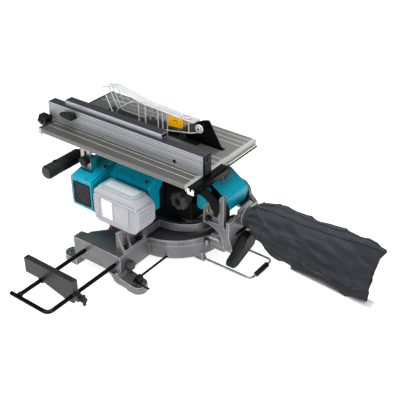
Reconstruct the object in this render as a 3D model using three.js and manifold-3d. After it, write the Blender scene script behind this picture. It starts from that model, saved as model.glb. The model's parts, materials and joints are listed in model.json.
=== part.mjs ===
// Battery table-top mitre saw with its base, side holder and dust bag.
// All lengths are in millimetres. X runs to the operator's right, +Y is the feed direction
// towards the rear, +Z is up. Pieces are drawn with the turntable axis at x = 0, y = 0 and the
// floor at z = 0. The whole group is then moved so that the middle of its box is on the origin.
import * as THREE from "three";
import { mergeVertices } from "three/addons/utils/BufferGeometryUtils.js";
import loadManifold from "manifold-3d";

const manifoldLibrary = await loadManifold();
manifoldLibrary.setup();
const { Manifold, Mesh: ManifoldMesh } = manifoldLibrary;

// ---------------------------------------------------------------- driving sizes
const TURNTABLE_AXIS = { x: -105.5, y: -128 };
const TOUCH_GAP = 0.3;

const BASE = { ringR: 134, ringWall: 7, ringBottom: 25, webTop: 61, wingEnd: 238,
  wingFront: -129, wingRear: 20, wingTop: 78, postX: 222, postTop: 131, fenceFace: -4 };
const TABLE_DISC = { r: 136, top: 78, wallBottom: 61.4, wall: 7, plate: 8 };
const PIVOT = { y: 153, z: 168, pinR: 9 };
const BEVEL_Z = 78;
const BLADE = { y: -43, z: 194, r: 130, thick: 2.3, teeth: 40 };
const MOTOR = { y: -124, z: 180, boreR: 30 };
const SAW_TABLE = { left: -87.5, right: 176, front: -271, rear: 165, top: 300, skin: 6, lip: 12 };
const FENCE = { left: 103, right: 127, front: -291, rear: 177, top: 348 };
const GUARD_PIVOT = { y: 85, z: 342 };
const HOLDER = { frontY: -93, rearY: 4, z: 52, rodR: 5, innerFront: 192, innerRear: 150, outerX: 453,
  barEnd: -113, stopX: 367.5, stopDepth: 14.5 };
const REAR_WIRE = { right: 50, left: -44, z: 12, rodR: 3, start: 104, end: 262 };

// ---------------------------------------------------------------- materials
function material(name, color, metalness, roughness, opacity = 1) {
  const made = new THREE.MeshStandardMaterial({ color, metalness, roughness });
  made.name = name;
  made.opacity = opacity;
  made.transparent = opacity < 1;
  return made;
}

// ---------------------------------------------------------------- solid helpers
function toSolid(geometry) {
  const bare = geometry.clone();
  bare.deleteAttribute("normal");
  bare.deleteAttribute("uv");
  const welded = mergeVertices(bare, 1e-4);
  const mesh = new ManifoldMesh({
    numProp: 3,
    vertProperties: Float32Array.from(welded.attributes.position.array),
    triVerts: Uint32Array.from(welded.index.array),
  });
  const solid = new Manifold(mesh);
  if (solid.volume() >= 0) return solid;
  const turned = Uint32Array.from(welded.index.array);
  for (let i = 0; i < turned.length; i += 3) {
    const keep = turned[i];
    turned[i] = turned[i + 1];
    turned[i + 1] = keep;
  }
  return new Manifold(new ManifoldMesh({
    numProp: 3,
    vertProperties: Float32Array.from(welded.attributes.position.array),
    triVerts: turned,
  }));
}

function fromSolid(solid) {
  const mesh = solid.getMesh();
  const geometry = new THREE.BufferGeometry();
  geometry.setAttribute("position", new THREE.BufferAttribute(mesh.vertProperties, 3));
  geometry.setIndex(new THREE.BufferAttribute(mesh.triVerts, 1));
  geometry.computeVertexNormals();
  return geometry;
}

function join(...geometries) {
  return fromSolid(geometries.map(toSolid).reduce((sum, next) => sum.add(next)));
}

function cut(geometry, ...tools) {
  return fromSolid(tools.map(toSolid).reduce((left, tool) => left.subtract(tool), toSolid(geometry)));
}

function mirrorX(geometry) {
  return fromSolid(toSolid(geometry).mirror([1, 0, 0]));
}

// ---------------------------------------------------------------- shape helpers
function box(x0, x1, y0, y1, z0, z1) {
  const shape = new THREE.BoxGeometry(x1 - x0, y1 - y0, z1 - z0);
  return shape.translate((x0 + x1) / 2, (y0 + y1) / 2, (z0 + z1) / 2);
}

function cylinderX(r, x0, x1, y, z, sides = 20) {
  const shape = new THREE.CylinderGeometry(r, r, x1 - x0, sides).rotateZ(-Math.PI / 2);
  return shape.translate((x0 + x1) / 2, y, z);
}

function cylinderY(r, y0, y1, x, z, sides = 20) {
  const shape = new THREE.CylinderGeometry(r, r, y1 - y0, sides);
  return shape.translate(x, (y0 + y1) / 2, z);
}

function cylinderZ(r, z0, z1, x, y, sides = 20) {
  const shape = new THREE.CylinderGeometry(r, r, z1 - z0, sides).rotateX(Math.PI / 2);
  return shape.translate(x, y, (z0 + z1) / 2);
}

function extrude(outline, depth, bevel) {
  const options = { depth: depth - 2 * bevel, curveSegments: 8, bevelEnabled: bevel > 0,
    bevelSize: bevel, bevelThickness: bevel, bevelOffset: -bevel, bevelSegments: 1 };
  const shape = new THREE.ExtrudeGeometry(outline, options);
  return shape.translate(0, 0, bevel);
}

function polygon(points) {
  return new THREE.Shape(points.map(([u, v]) => new THREE.Vector2(u, v)));
}

// The outline is given as [y, z] pairs and runs from x0 to x1.
function plateYZ(points, x0, x1, bevel = 0) {
  const shape = extrude(polygon(points), x1 - x0, bevel);
  const turn = new THREE.Matrix4().makeBasis(
    new THREE.Vector3(0, 1, 0), new THREE.Vector3(0, 0, 1), new THREE.Vector3(1, 0, 0));
  return shape.applyMatrix4(turn).translate(x0, 0, 0);
}

// The outline is given as [x, z] pairs and runs from y0 to y1.
function plateXZ(points, y0, y1, bevel = 0) {
  const shape = extrude(polygon(points), y1 - y0, bevel);
  return shape.rotateX(Math.PI / 2).translate(0, y1, 0);
}

// The outline is given as [x, y] pairs and runs from z0 to z1.
function plateXY(points, z0, z1, bevel = 0) {
  return extrude(polygon(points), z1 - z0, bevel).translate(0, 0, z0);
}

function arcPoints(cx, cy, r, fromDeg, toDeg, steps) {
  const points = [];
  for (let i = 0; i <= steps; i += 1) {
    const angle = THREE.MathUtils.degToRad(fromDeg + (toDeg - fromDeg) * i / steps);
    points.push([cx + r * Math.cos(angle), cy + r * Math.sin(angle)]);
  }
  return points;
}

function sectorPoints(cx, cy, inner, outer, fromDeg, toDeg, steps) {
  const outside = arcPoints(cx, cy, outer, fromDeg, toDeg, steps);
  const inside = arcPoints(cx, cy, inner, toDeg, fromDeg, steps);
  return outside.concat(inside);
}

// Turned shape about a line parallel to Y. The profile is given as [radius, y] pairs.
function turnedY(profile, x, z, sides = 20) {
  const closed = profile.concat([profile[0]]);
  const points = closed.map(([r, h]) => new THREE.Vector2(r, h));
  return fromSolid(toSolid(new THREE.LatheGeometry(points, sides).translate(x, 0, z)));
}

// Turned shape about a line parallel to X. The profile is given as [radius, x] pairs.
function turnedX(profile, y, z, sides = 20) {
  const closed = profile.concat([profile[0]]);
  const points = closed.map(([r, h]) => new THREE.Vector2(r, h));
  const shape = new THREE.LatheGeometry(points, sides).rotateZ(-Math.PI / 2);
  return fromSolid(toSolid(shape.translate(0, y, z)));
}

// Turned shape about a line parallel to Z. The profile is given as [radius, z] pairs.
function turnedZ(profile, x, y, sides = 20) {
  const closed = profile.concat([profile[0]]);
  const points = closed.map(([r, h]) => new THREE.Vector2(r, h));
  const shape = new THREE.LatheGeometry(points, sides).rotateX(Math.PI / 2);
  return fromSolid(toSolid(shape.translate(x, y, 0)));
}

function lobedOutline(cu, cv, r, lobes, depth, steps) {
  const points = [];
  for (let i = 0; i < steps; i += 1) {
    const angle = 2 * Math.PI * i / steps;
    const reach = r - depth * (0.5 - 0.5 * Math.cos(lobes * angle));
    points.push([cu + reach * Math.cos(angle), cv + reach * Math.sin(angle)]);
  }
  return points;
}

// A bent rod: the path is a list of points, swept with a round section.
class RodPath extends THREE.Curve {
  constructor(points) {
    super();
    this.points = points;
  }
  getPoint(t) {
    const place = t * (this.points.length - 1);
    const index = Math.min(Math.floor(place), this.points.length - 2);
    return this.points[index].clone().lerp(this.points[index + 1], place - index);
  }
  getPointAt(t) {
    return this.getPoint(t);
  }
  getTangentAt(t) {
    const index = Math.round(t * (this.points.length - 1));
    const before = this.points[Math.max(index - 1, 0)];
    const after = this.points[Math.min(index + 1, this.points.length - 1)];
    const into = this.points[index].clone().sub(before).normalize();
    const out = after.clone().sub(this.points[index]).normalize();
    return into.add(out).normalize();
  }
}

function rod(points, radius, sides = 8) {
  const path = new RodPath(points.map(([x, y, z]) => new THREE.Vector3(x, y, z)));
  const section = new THREE.Shape();
  section.setFromPoints(arcPoints(0, 0, radius, 0, 360 - 360 / sides, sides - 1)
    .map(([u, v]) => new THREE.Vector2(u, v)));
  const shape = new THREE.ExtrudeGeometry(section,
    { steps: points.length - 1, extrudePath: path, bevelEnabled: false });
  return fromSolid(toSolid(shape));
}

// Outline of a belt round two pulleys, as [y, z] pairs.
function beltOutline(first, second) {
  const dy = second.y - first.y;
  const dz = second.z - first.z;
  const heading = THREE.MathUtils.radToDeg(Math.atan2(dz, dy));
  const spread = THREE.MathUtils.radToDeg(Math.acos((first.r - second.r) / Math.hypot(dy, dz)));
  const big = arcPoints(first.y, first.z, first.r, heading + spread, heading + 360 - spread, 14);
  const small = arcPoints(second.y, second.z, second.r, heading - spread, heading + spread, 8);
  return big.concat(small);
}

// ---------------------------------------------------------------- base and guide fence
function baseWing() {
  const { wingEnd, wingFront, wingRear, ringBottom, wingTop } = BASE;
  const outline = [[118, wingRear], [118, -38], [198, -108], [208, -110], [211, wingFront],
    [wingEnd, wingFront], [wingEnd, wingRear]];
  const wing = plateXY(outline, ringBottom, wingTop);
  const hollow = plateXY([[150, 12], [150, -54], [198, -97], [232, -97], [232, 12]], 20, 71);
  const discRoom = cylinderZ(138, BASE.webTop + TOUCH_GAP, 90, 0, 0, 48);
  return cut(wing, hollow, discRoom);
}

function bolted(foot, y) {
  const bolt = cylinderZ(4.5, -5, 60, 226.5, y, 16);
  const recess = cylinderZ(10, 12, 60, 226.5, y, 20);
  return cut(foot, bolt, recess);
}

function rearFoot() {
  const leg = plateYZ([[-10, 25.5], [-4, 25.5], [6, 11], [14, 7], [42, 5], [48, 0], [65, 0], [65, 20],
    [24, 26], [20, 30], [19, 36], [12, 36], [12, 30], [-10, 30]], 206, 247);
  return bolted(join(leg, cylinderZ(20.5, 0, 20, 226.5, 65)), 65);
}

function frontFoot() {
  const pad = join(box(206, 247, -147, -118, 0, 18), cylinderZ(20.5, 0, 18, 226.5, -147));
  const riser = box(206, 237, -128, -118, 0, 30);
  return bolted(join(pad, riser), -147);
}

function wireLug(x) {
  const { z, rodR } = REAR_WIRE;
  const boss = cylinderY(8, 99, 126, x, z, 20);
  const stem = box(x - 7, x + 7, 113, 124, z, 30);
  return cut(join(boss, stem), cylinderY(rodR + TOUCH_GAP, 90, 130, x, z, 16));
}

function baseCasting() {
  const { ringR, ringWall, ringBottom, webTop } = BASE;
  const bowl = turnedZ([[9, webTop - 24], [22, webTop - 24], [22, 56], [ringR - ringWall, 56],
    [ringR - ringWall, ringBottom], [ringR, ringBottom], [ringR, webTop], [9, webTop]], 0, 0, 40);
  const ribs = [60, 120, 240, 300].map((angle) => {
    const rib = box(20, ringR - ringWall + 2, -2.5, 2.5, 34, 58);
    return rib.rotateZ(THREE.MathUtils.degToRad(angle));
  });
  const shelf = plateXY(sectorPoints(0, 0, 130, 172, 212, 328, 14), 42, webTop);
  const right = join(baseWing(), rearFoot(), frontFoot());
  const left = mirrorX(right);
  const whole = join(bowl, ...ribs, shelf, right, left, wireLug(REAR_WIRE.right),
    wireLug(REAR_WIRE.left));
  const bores = [HOLDER.frontY, HOLDER.rearY].map((y) =>
    cylinderX(HOLDER.rodR + TOUCH_GAP, 40, 250, y, HOLDER.z, 20));
  const lockBore = cylinderY(4.3, 8, 30, 210, 44, 16);
  const wrenchHole = cylinderX(3.7, 90, 135, 62, 31, 12);
  return cut(whole, ...bores, lockBore, wrenchHole);
}

function fencePost() {
  const { fenceFace, postX, postTop, wingTop } = BASE;
  const bottom = wingTop + TOUCH_GAP;
  const face = plateXZ([[100, bottom], [postX, bottom], [postX, postTop], [190, postTop],
    [112, 120], [100, 108]], fenceFace, fenceFace + 7, 1);
  const foot = box(142, postX, fenceFace, 19, bottom, 85);
  const gusset = plateYZ([[0, 80], [17, 80], [17, 86], [3, 130], [0, 130]], 192, 198);
  const endRib = plateYZ([[0, 80], [17, 80], [17, 86], [3, 132], [0, 132]], postX - 6, postX);
  const step = join(box(85, 150, 8, 19, 86, 106), box(143, 150, 8, 17, 80, 90));
  const discRoom = cylinderZ(138, 70, 82, 0, 0, 48);
  const holes = [160, 208].map((x) => cylinderZ(4.3, 70, 100, x, 11, 16));
  return cut(join(face, foot, gusset, endRib, step), discRoom, ...holes);
}

function fenceLoop() {
  const points = [];
  for (let i = 0; i <= 16; i += 1) {
    const angle = Math.PI * i / 16;
    points.push([90 * Math.cos(angle), 18 + 104 * Math.sin(angle)]);
  }
  for (let i = 16; i >= 0; i -= 1) {
    const angle = Math.PI * i / 16;
    points.push([81 * Math.cos(angle), 18 + 95 * Math.sin(angle)]);
  }
  return plateXY(points, 86, 106);
}

function guideFence() {
  const post = fencePost();
  return join(post, mirrorX(post), fenceLoop(), box(81, 100, 8, 19, 86, 106),
    box(-100, -81, 8, 19, 86, 106));
}

// ---------------------------------------------------------------- wires and tool store
function cornerPoints(x, y, z, radius, fromDeg, toDeg) {
  return arcPoints(x, y, radius, fromDeg, toDeg, 5).map(([u, v]) => [u, v, z]);
}

function rearWire() {
  const { right, left, z, rodR, start, end } = REAR_WIRE;
  const bend = 14;
  const points = [[right, start, z]]
    .concat(cornerPoints(right - bend, end - bend, z, bend, 0, 90))
    .concat(cornerPoints(left + bend, end - bend, z, bend, 90, 180))
    .concat([[left, start, z]]);
  return rod(points, rodR);
}

function wireGrip() {
  const { z, rodR, end } = REAR_WIRE;
  const bore = rodR + TOUCH_GAP;
  return turnedX([[bore, -22], [6.5, -22], [6.5, 28], [bore, 28]], end, z, 16);
}

function holderWire() {
  const { frontY, rearY, z, rodR, innerFront, innerRear, outerX, barEnd } = HOLDER;
  const bend = 16;
  const points = [[innerRear, rearY, z]]
    .concat(cornerPoints(outerX - bend, rearY - bend, z, bend, 90, 0))
    .concat([[outerX, barEnd, z]]);
  return join(rod(points, rodR), rod([[innerFront, frontY, z], [outerX - 1, frontY, z]], rodR));
}

function stopPlate() {
  const { frontY, rearY, z, rodR, stopX, stopDepth } = HOLDER;
  const face = stopX + stopDepth;
  const outline = [[-143, 54], [-143, 95], [12, 95], [12, 38], [8, 34], [-14, 34], [-86, 50],
    [-100, 54]];
  const plate = plateYZ(outline, face - 3, face);
  const topFlange = box(stopX, face, -143, 12, 92, 95);
  const endFlange = box(stopX, face, 9, 12, 58, 95);
  const frontFlange = box(stopX, face, -143, -140, 54, 95);
  const sleeves = [frontY, rearY].map((y) => cylinderX(9, stopX, face, y, z, 20));
  const block = box(stopX, face, rearY + 5, rearY + 20, 45, 59);
  const bores = [frontY, rearY].map((y) => cylinderX(rodR + TOUCH_GAP, stopX - 9, face + 9, y, z, 20));
  const screwBore = cylinderY(3.3, rearY + 3, rearY + 30, stopX + stopDepth / 2, z, 14);
  return cut(join(plate, topFlange, endFlange, frontFlange, ...sleeves, block), ...bores, screwBore);
}

function wingScrew(x, y, z) {
  const stud = cylinderY(3, y - 15, y + 4, x, z, 14);
  const hub = cylinderY(7, y + TOUCH_GAP, y + 15, x, z, 16);
  const wings = box(x - 3, x + 3, y + 8, y + 14, z - 14, z + 14);
  return join(stud, hub, wings);
}

function stopWingScrew() {
  return wingScrew(HOLDER.stopX + HOLDER.stopDepth / 2, 24.6, HOLDER.z);
}

function hexWrench() {
  const z = 31;
  const longArm = cylinderX(3, 96, 240, 62, z, 6);
  const shortArm = cylinderY(3, 59.4, 108, 240, z, 6);
  return join(longArm, shortArm);
}

function lobedKnobY(x, z, y0, y1, r, studR, studStart) {
  const grip = plateXZ(lobedOutline(x, z, r, 6, 2.5, 24), y0, y1, 1);
  return join(grip, cylinderY(studR, studStart, y1 - 2, x, z, 14));
}

// ---------------------------------------------------------------- turntable
function turntable() {
  const { r, top, wallBottom, wall, plate } = TABLE_DISC;
  const under = top - plate;
  const disc = turnedZ([[0.01, under], [24, under], [24, wallBottom], [8.4, wallBottom],
    [8.4, under - 3], [0.01, under - 3]], 0, 0, 40);
  const pan = turnedZ([[0.01, under - 1], [r - wall, under - 1], [r - wall, wallBottom],
    [r, wallBottom], [r, top - 2], [r - 2, top], [0.01, top]], 0, 0, 56);
  const frontArm = plateXY([[-38, -118], [38, -118], [32, -226], [-32, -226]], wallBottom, top);
  const frontDrop = plateXY([[-34, -176], [34, -176], [32, -226], [-32, -226]], 40, 70);
  const rearArm = box(-44, 44, 118, 176, wallBottom, top);
  const rearDrop = box(-40, 40, 138, 176, 46, 70);
  const flange = cylinderY(46, 162, 178, 0, BEVEL_Z, 40);
  const solid = join(pan, disc, frontArm, frontDrop, rearArm, rearDrop, flange);
  const recess = box(-18, 18, -176, 106, 75, 90);
  const bladeSlot = box(-5, 14, -170, 96, 55, 90);
  const boltRoom = cylinderZ(8.4, 55, 71, 0, 0, 24);
  const leverBore = cylinderY(8.4, 150, 190, 0, BEVEL_Z, 24);
  const gripBore = cylinderY(6.4, -235, -190, 0, 58, 20);
  return cut(solid, recess, bladeSlot, boltRoom, leverBore, gripBore);
}

function turntableBolt() {
  return join(cylinderZ(8, 38, 67, 0, 0, 24), cylinderZ(14, 27, 37 - TOUCH_GAP, 0, 0, 6),
    cylinderZ(8, 30, 50, 0, 0, 24));
}

function kerfBoard(side) {
  const inner = side * 2.2;
  const under = side * (side > 0 ? 6 : 3);
  const outer = side * 17.7;
  const outline = [[inner, 78], [outer, 78], [outer, 75 + TOUCH_GAP], [under, 75 + TOUCH_GAP]];
  return plateXZ(outline, -175.7, 105.7);
}

function mitreGrip() {
  const grip = turnedY([[0.01, -292], [13, -292], [17, -286], [17.5, -262], [14, -244],
    [15, -230], [15, -226 - TOUCH_GAP], [0.01, -226 - TOUCH_GAP]], 0, 58, 28);
  return join(grip, cylinderY(6, -228, -196, 0, 58, 20));
}

function mitreLeverBracket() {
  const ear = join(box(13, 19, -219, -200, 78 + TOUCH_GAP, 89),
    box(0, 19, -205.5, -200, 78 + TOUCH_GAP, 89));
  return join(ear, mirrorX(ear), cylinderX(3, -14, 14, -213, 83.5, 16));
}

function mitreLever() {
  const tab = plateYZ([[-270, 80], [-268, 84], [-232, 88], [-208, 88], [-206, 80], [-212, 78.4],
    [-232, 82]], -12, 12, 1);
  return cut(tab, cylinderX(3.3, -20, 20, -213, 83.5, 16));
}

// ---------------------------------------------------------------- bevel arm
function earOutline() {
  return [[204, 116], [204, 126], [188, 134], [189, 214], [185, 219], [179, 216], [175, 204],
    [172, 188], [163, 192], [148, 190], [137, 182], [131, 172], [130.7, 131], [150, 128], [178, 116]];
}

// Raised rim of the near ear: a hooked front edge, a bottom bar and the tall rear post.
function earRimOutline() {
  return [[204, 116], [204, 126], [188, 134], [189, 214], [185, 219], [179, 216], [175, 204],
    [175, 139], [147, 138], [135.6, 139.5], [136, 171], [141, 179], [149, 185], [148, 190],
    [137, 182], [131, 172], [130.7, 131], [150, 128], [178, 116]];
}

function farEarOutline() {
  const round = arcPoints(PIVOT.y, PIVOT.z, 32, 0, 180, 14);
  return [[204, 116], [204, 150]].concat(round, [[121, 150], [131, 136], [150, 128], [178, 116]]);
}

function bevelArm() {
  const hub = cylinderY(46, 178.5, 200, 0, BEVEL_Z, 40);
  const trunk = plateXZ([[-42, 60], [42, 60], [62, 112], [62, 132], [-62, 132], [-62, 112]],
    178.5, 204);
  const back = box(-62, 62, 196.5, 204, 118, 152);
  const nearEar = join(plateYZ(earOutline(), 52, 57), plateYZ(earRimOutline(), 56, 62));
  const web = box(-34, 18, 196.5, 204, 150, 165);
  const farEar = plateYZ(farEarOutline(), -62, -52, 1.2);
  const sideRib = plateYZ([[178.6, 60], [196, 60], [204, 70], [204, 118], [178.6, 118]], 38, 46);
  const solid = join(hub, trunk, back, web, nearEar, farEar, sideRib, mirrorX(sideRib));
  const pinBore = cylinderX(PIVOT.pinR + TOUCH_GAP, -70, 70, PIVOT.y, PIVOT.z, 28);
  const leverBore = cylinderY(8.4, 170, 210, 0, BEVEL_Z, 24);
  const ductBore = cylinderY(16, 180, 210, -8, 139, 24);
  const stopBore = cylinderX(4.3, 50, 70, 145, 146, 16);
  const pocket = box(-34, 34, 190, 210, 98, 112);
  return cut(solid, pinBore, leverBore, ductBore, stopBore, pocket);
}

function pivotPin() {
  const shaft = cylinderX(PIVOT.pinR, -64, 62, PIVOT.y, PIVOT.z, 28);
  const farHead = cylinderX(15, -68, -62 - TOUCH_GAP, PIVOT.y, PIVOT.z, 24);
  return join(shaft, farHead);
}

function pivotSpring() {
  const inner = PIVOT.pinR + 1.5;
  const profile = [[inner, 57.3], [14, 57.3], [15.5, 58.4], [14, 59.5], [15.5, 60.6], [14, 61.7],
    [inner, 61.7]];
  return turnedX(profile, PIVOT.y, PIVOT.z, 28);
}

function stopPin() {
  const head = cylinderX(6.5, 57 + TOUCH_GAP, 68, 145, 146, 16);
  return join(cylinderX(4, 52.5, 60, 145, 146, 16), head);
}

function bevelLever() {
  const outline = [[-24, 74], [-20, 92], [0, 102], [20, 98], [34, 84], [76, 60], [80, 48],
    [70, 38], [56, 36], [6, 52], [-18, 60]];
  const handle = plateXZ(outline, 207, 228, 3);
  const hub = cylinderY(17, 204 + TOUCH_GAP, 226, 0, BEVEL_Z, 28);
  return join(handle, hub, cylinderY(8, 166, 210, 0, BEVEL_Z, 24));
}

function dustNozzle() {
  const profile = [[16.5, 204 + TOUCH_GAP], [25, 204 + TOUCH_GAP], [25, 209], [20, 211],
    [19, 246], [16.5, 246]];
  return turnedY(profile, -8, 139, 32);
}

// ---------------------------------------------------------------- dust bag
const BAG_LENGTHS = [214, 226, 240, 256, 276, 305, 345, 395, 445, 495, 535, 560];
const BAG_TOPS = [163, 164, 170, 178, 183, 185, 186, 188, 191, 194, 196, 197];
const BAG_BOTTOMS = [115, 114, 104, 90, 72, 64, 63, 62, 59, 55, 51, 52];
const BAG_WIDTHS = [24, 24, 28, 33, 36, 37, 36, 34, 31, 26, 19, 9];

function along(list, t) {
  const place = t * (list.length - 1);
  const index = Math.min(Math.floor(place), list.length - 2);
  return list[index] + (list[index + 1] - list[index]) * (place - index);
}

function bagSkin(inset, firstY, sides) {
  const rings = 13;
  const shape = new THREE.CylinderGeometry(1, 1, 1, sides, rings);
  const position = shape.attributes.position;
  for (let i = 0; i < position.count; i += 1) {
    const t = position.getY(i) + 0.5;
    const reach = Math.hypot(position.getX(i), position.getZ(i));
    const angle = Math.atan2(position.getX(i), position.getZ(i));
    const top = along(BAG_TOPS, t) - inset;
    const bottom = along(BAG_BOTTOMS, t) + inset;
    const width = along(BAG_WIDTHS, t) - inset;
    const y = Math.max(along(BAG_LENGTHS, t), firstY);
    const endShift = t === 1 ? -inset : 0;
    position.setXYZ(i, -8 + 10 * t + reach * width * Math.sin(angle), y + endShift,
      (top + bottom) / 2 + reach * (top - bottom) / 2 * Math.cos(angle));
  }
  return fromSolid(toSolid(shape));
}

function dustBag() {
  const outside = bagSkin(0, 214, 18);
  const inside = bagSkin(2.4, 200, 18);
  const neck = cylinderY(20.6, 200, 262, -8, 139, 28);
  return cut(outside, inside, neck);
}

function bagStrip() {
  const outline = [[300, 60], [350, 59], [400, 57.6], [450, 54], [500, 50], [540, 46], [562, 47],
    [562, 43], [538, 41], [498, 45], [448, 49], [398, 52.6], [300, 55]];
  return plateYZ(outline, -14, 14);
}

// ---------------------------------------------------------------- saw head
function headCasting() {
  const { y, z } = PIVOT;
  const barrel = cylinderX(24, -43.6, 43.6, y, z, 32);
  const nearDisc = cylinderX(40, 43.4, 51.5, y, z, 36);
  const farDisc = cylinderX(30, -51.5, -43.4, y, z, 36);
  const neck = plateYZ([[152, 150], [92, 152], [92, 228], [112, 228], [138, 222], [160, 190]],
    -30, 40);
  const rightWall = plateYZ([[-150, 158], [-178, 190], [-176, 236], [-160, 262], [60, 262],
    [93, 228], [93, 112], [40, 110], [-60, 122]], 14, 22);
  const leftWall = plateYZ([[-150, 158], [-178, 190], [-176, 236], [-160, 262], [60, 262],
    [93, 228], [93, 160], [40, 150], [-60, 150]], -22, -14);
  const beltCase = plateYZ(beltOutline({ y: BLADE.y, z: BLADE.z, r: 44 },
    { y: MOTOR.y, z: MOTOR.z, r: 34 }), 20, 58);
  const lowCase = plateYZ([[-20, 112], [92, 112], [92, 160], [60, 236], [0, 236]], 20, 58, 2);
  const gussets = [6, 34, 62].map((start) => plateYZ([[start, 113], [start + 5, 113],
    [start + 5, 214], [start, 214]], 56, 61));
  const armRight = plateXZ([[8, 252], [30, 252], [30, 268], [8, 268]], 60, 158);
  const armRoot = box(14, 30, 60, 92, 226, 260);
  const sideArm = plateYZ([[104, 207], [112, 224], [131, 224], [148, 222], [167, 211], [176, 199],
    [176, 172], [170, 158], [163, 161], [157, 176], [148, 192], [136, 200], [120, 204]], 62.4, 66);
  const sideArmRoot = box(36, 64, 104, 120, 206, 224);
  const solid = join(barrel, sideArm, sideArmRoot, nearDisc, farDisc, neck, rightWall, leftWall,
    beltCase, lowCase, ...gussets, armRight, armRoot, box(-22, 22, 91, 93, 160, 228));
  const beltRoom = plateYZ(beltOutline({ y: BLADE.y, z: BLADE.z, r: 39 },
    { y: MOTOR.y, z: MOTOR.z, r: 29 }), 28, 60);
  const shaftBore = cylinderX(8.4, 10, 30, BLADE.y, BLADE.z, 24);
  const motorBore = cylinderX(5.4, 10, 30, MOTOR.y, MOTOR.z, 20);
  const pinBore = cylinderX(PIVOT.pinR + TOUCH_GAP, -70, 70, y, z, 28);
  const lowRoom = plateYZ([[4, 105], [84, 105], [84, 150], [58, 200], [8, 132]], 26, 50);
  const rearBore = cylinderY(3.4, 140, 165, 19, 261, 16);
  return cut(solid, beltRoom, shaftBore, motorBore, pinBore, lowRoom, rearBore);
}

function pivotCover() {
  const outside = [[117, 237], [121, 239], [140, 230], [171, 209], [182, 199], [185, 186], [180, 160]];
  const inside = [[177, 161], [181.6, 186], [179, 197.4], [169.4, 206.2], [138.8, 226.6],
    [121, 235.2], [117, 233]];
  return plateYZ(outside.concat(inside), -43, 43);
}

function motorHousing() {
  const endBlock = plateXZ([[58.4, 140], [58.4, 244], [110, 240], [150, 233], [200, 222],
    [200, 144], [194, 139], [64, 139]], -160, -89, 3);
  const bulge = plateXZ([[90, 146], [90, 228], [196, 216], [196, 150]], -166, -158, 3);
  const wide = plateXZ([[58.4, 240], [58.4, 250], [96, 247], [138, 223], [138, 150], [100, 150],
    [100, 200], [62, 240]], -150, 32, 3);
  const core = box(59, 136, -140, -94, 150, 225);
  const screwBoss = cylinderX(7, 120, 139, 22, 212, 18);
  const heightPost = box(150, 165.7, -150, -118, 225, 264);
  const rails = [164, 194].map((z) => box(137, 146, -66, 36, z, z + 6));
  const terminals = box(137, 147, -60, -30, 178, 186);
  const solid = join(endBlock, bulge, wide, core, screwBoss, heightPost, ...rails, terminals);
  const bore = cylinderX(MOTOR.boreR, 50, 194, MOTOR.y, MOTOR.z, 36);
  const ventHole = box(190, 210, -151, -98, 151, 211);
  const cavity = box(104, 130, -86, 24, 158, 214);
  const link = box(104, 130, -104, -80, 172, 196);
  const heightPostBore = cylinderX(3.4, 140, 180, -134, 256, 16);
  const bracketRoom = box(165.2, 172, -153, -115, 212.6, 250);
  return cut(solid, bore, ventHole, cavity, link, heightPostBore, bracketRoom);
}

function ventGrille() {
  const frame = box(196.5, 202, -150.7, -98.3, 151.3, 210.7);
  const slots = [];
  for (let row = 0; row < 8; row += 1) {
    slots.push(box(195, 205, -146, -103, 156 + row * 6.6, 159.6 + row * 6.6));
  }
  return cut(frame, ...slots);
}

function handleBar() {
  const bar = turnedX([[0.01, 24], [13, 24], [13, 92], [17.5, 99], [17.5, 205], [13, 212],
    [0.01, 213]], -233, 205, 28);
  const bracket = plateYZ([[-243, 196], [-243, 214], [-228, 219], [-170, 240], [-150, 240],
    [-150, 206], [-176, 200], [-220, 192]], 24, 44, 2);
  const upright = plateYZ([[-246, 205], [-238, 205], [-232, 262], [-246, 262]], 24, 44);
  const triggerRoom = box(112, 168, -230, -210, 199, 211);
  const buttonRoom = cylinderZ(5.4, 207, 230, 178, -233, 20);
  const caseRoom = box(10, 23.7, -200, -100, 150, 262);
  return cut(join(bar, bracket, upright), triggerRoom, buttonRoom, caseRoom);
}

function trigger() {
  return plateXY([[113, -223.5], [167, -223.5], [167, -214], [156, -211], [124, -211], [113, -214]],
    199.6, 210.4, 1);
}

function lockOffButton() {
  return cylinderZ(5, 212.5, 225.5, 178, -233, 20);
}

function batteryPack() {
  const outline = [[-82, 150], [-82, 212], [-74, 222], [24, 220], [50, 204], [50, 160], [40, 140],
    [20, 136], [-70, 137]];
  const shell = plateYZ(outline, 142.6, 207, 4);
  const ridge = plateXY([[166, -60], [196, -60], [192, 16], [170, 16]], 218, 224, 1.5);
  const solid = join(shell, ridge);
  const slotTop = box(140, 146.6, -90, 40, 193.4, 200.6);
  const slotLow = box(140, 146.6, -90, 40, 163.4, 170.6);
  const slotMid = box(140, 147.6, -90, -26, 177.4, 186.6);
  const buttonRoom = box(186, 210, -90, -73, 168, 194);
  return cut(solid, slotTop, slotLow, slotMid, buttonRoom);
}

function batteryButton() {
  return box(186.6, 205.6, -83.5, -76.6, 168.6, 193.4);
}

function starKnob() {
  const lobes = plateYZ(lobedOutline(83, 186, 21, 6, 4, 36), 78, 100, 1.5);
  const skirt = cylinderX(19, 64, 79, 83, 186, 20);
  const stud = cylinderX(6, 58 + TOUCH_GAP, 66, 83, 186, 20);
  const recess = cylinderX(8, 90, 110, 83, 186, 24);
  return cut(join(lobes, skirt, stud), recess);
}

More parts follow.
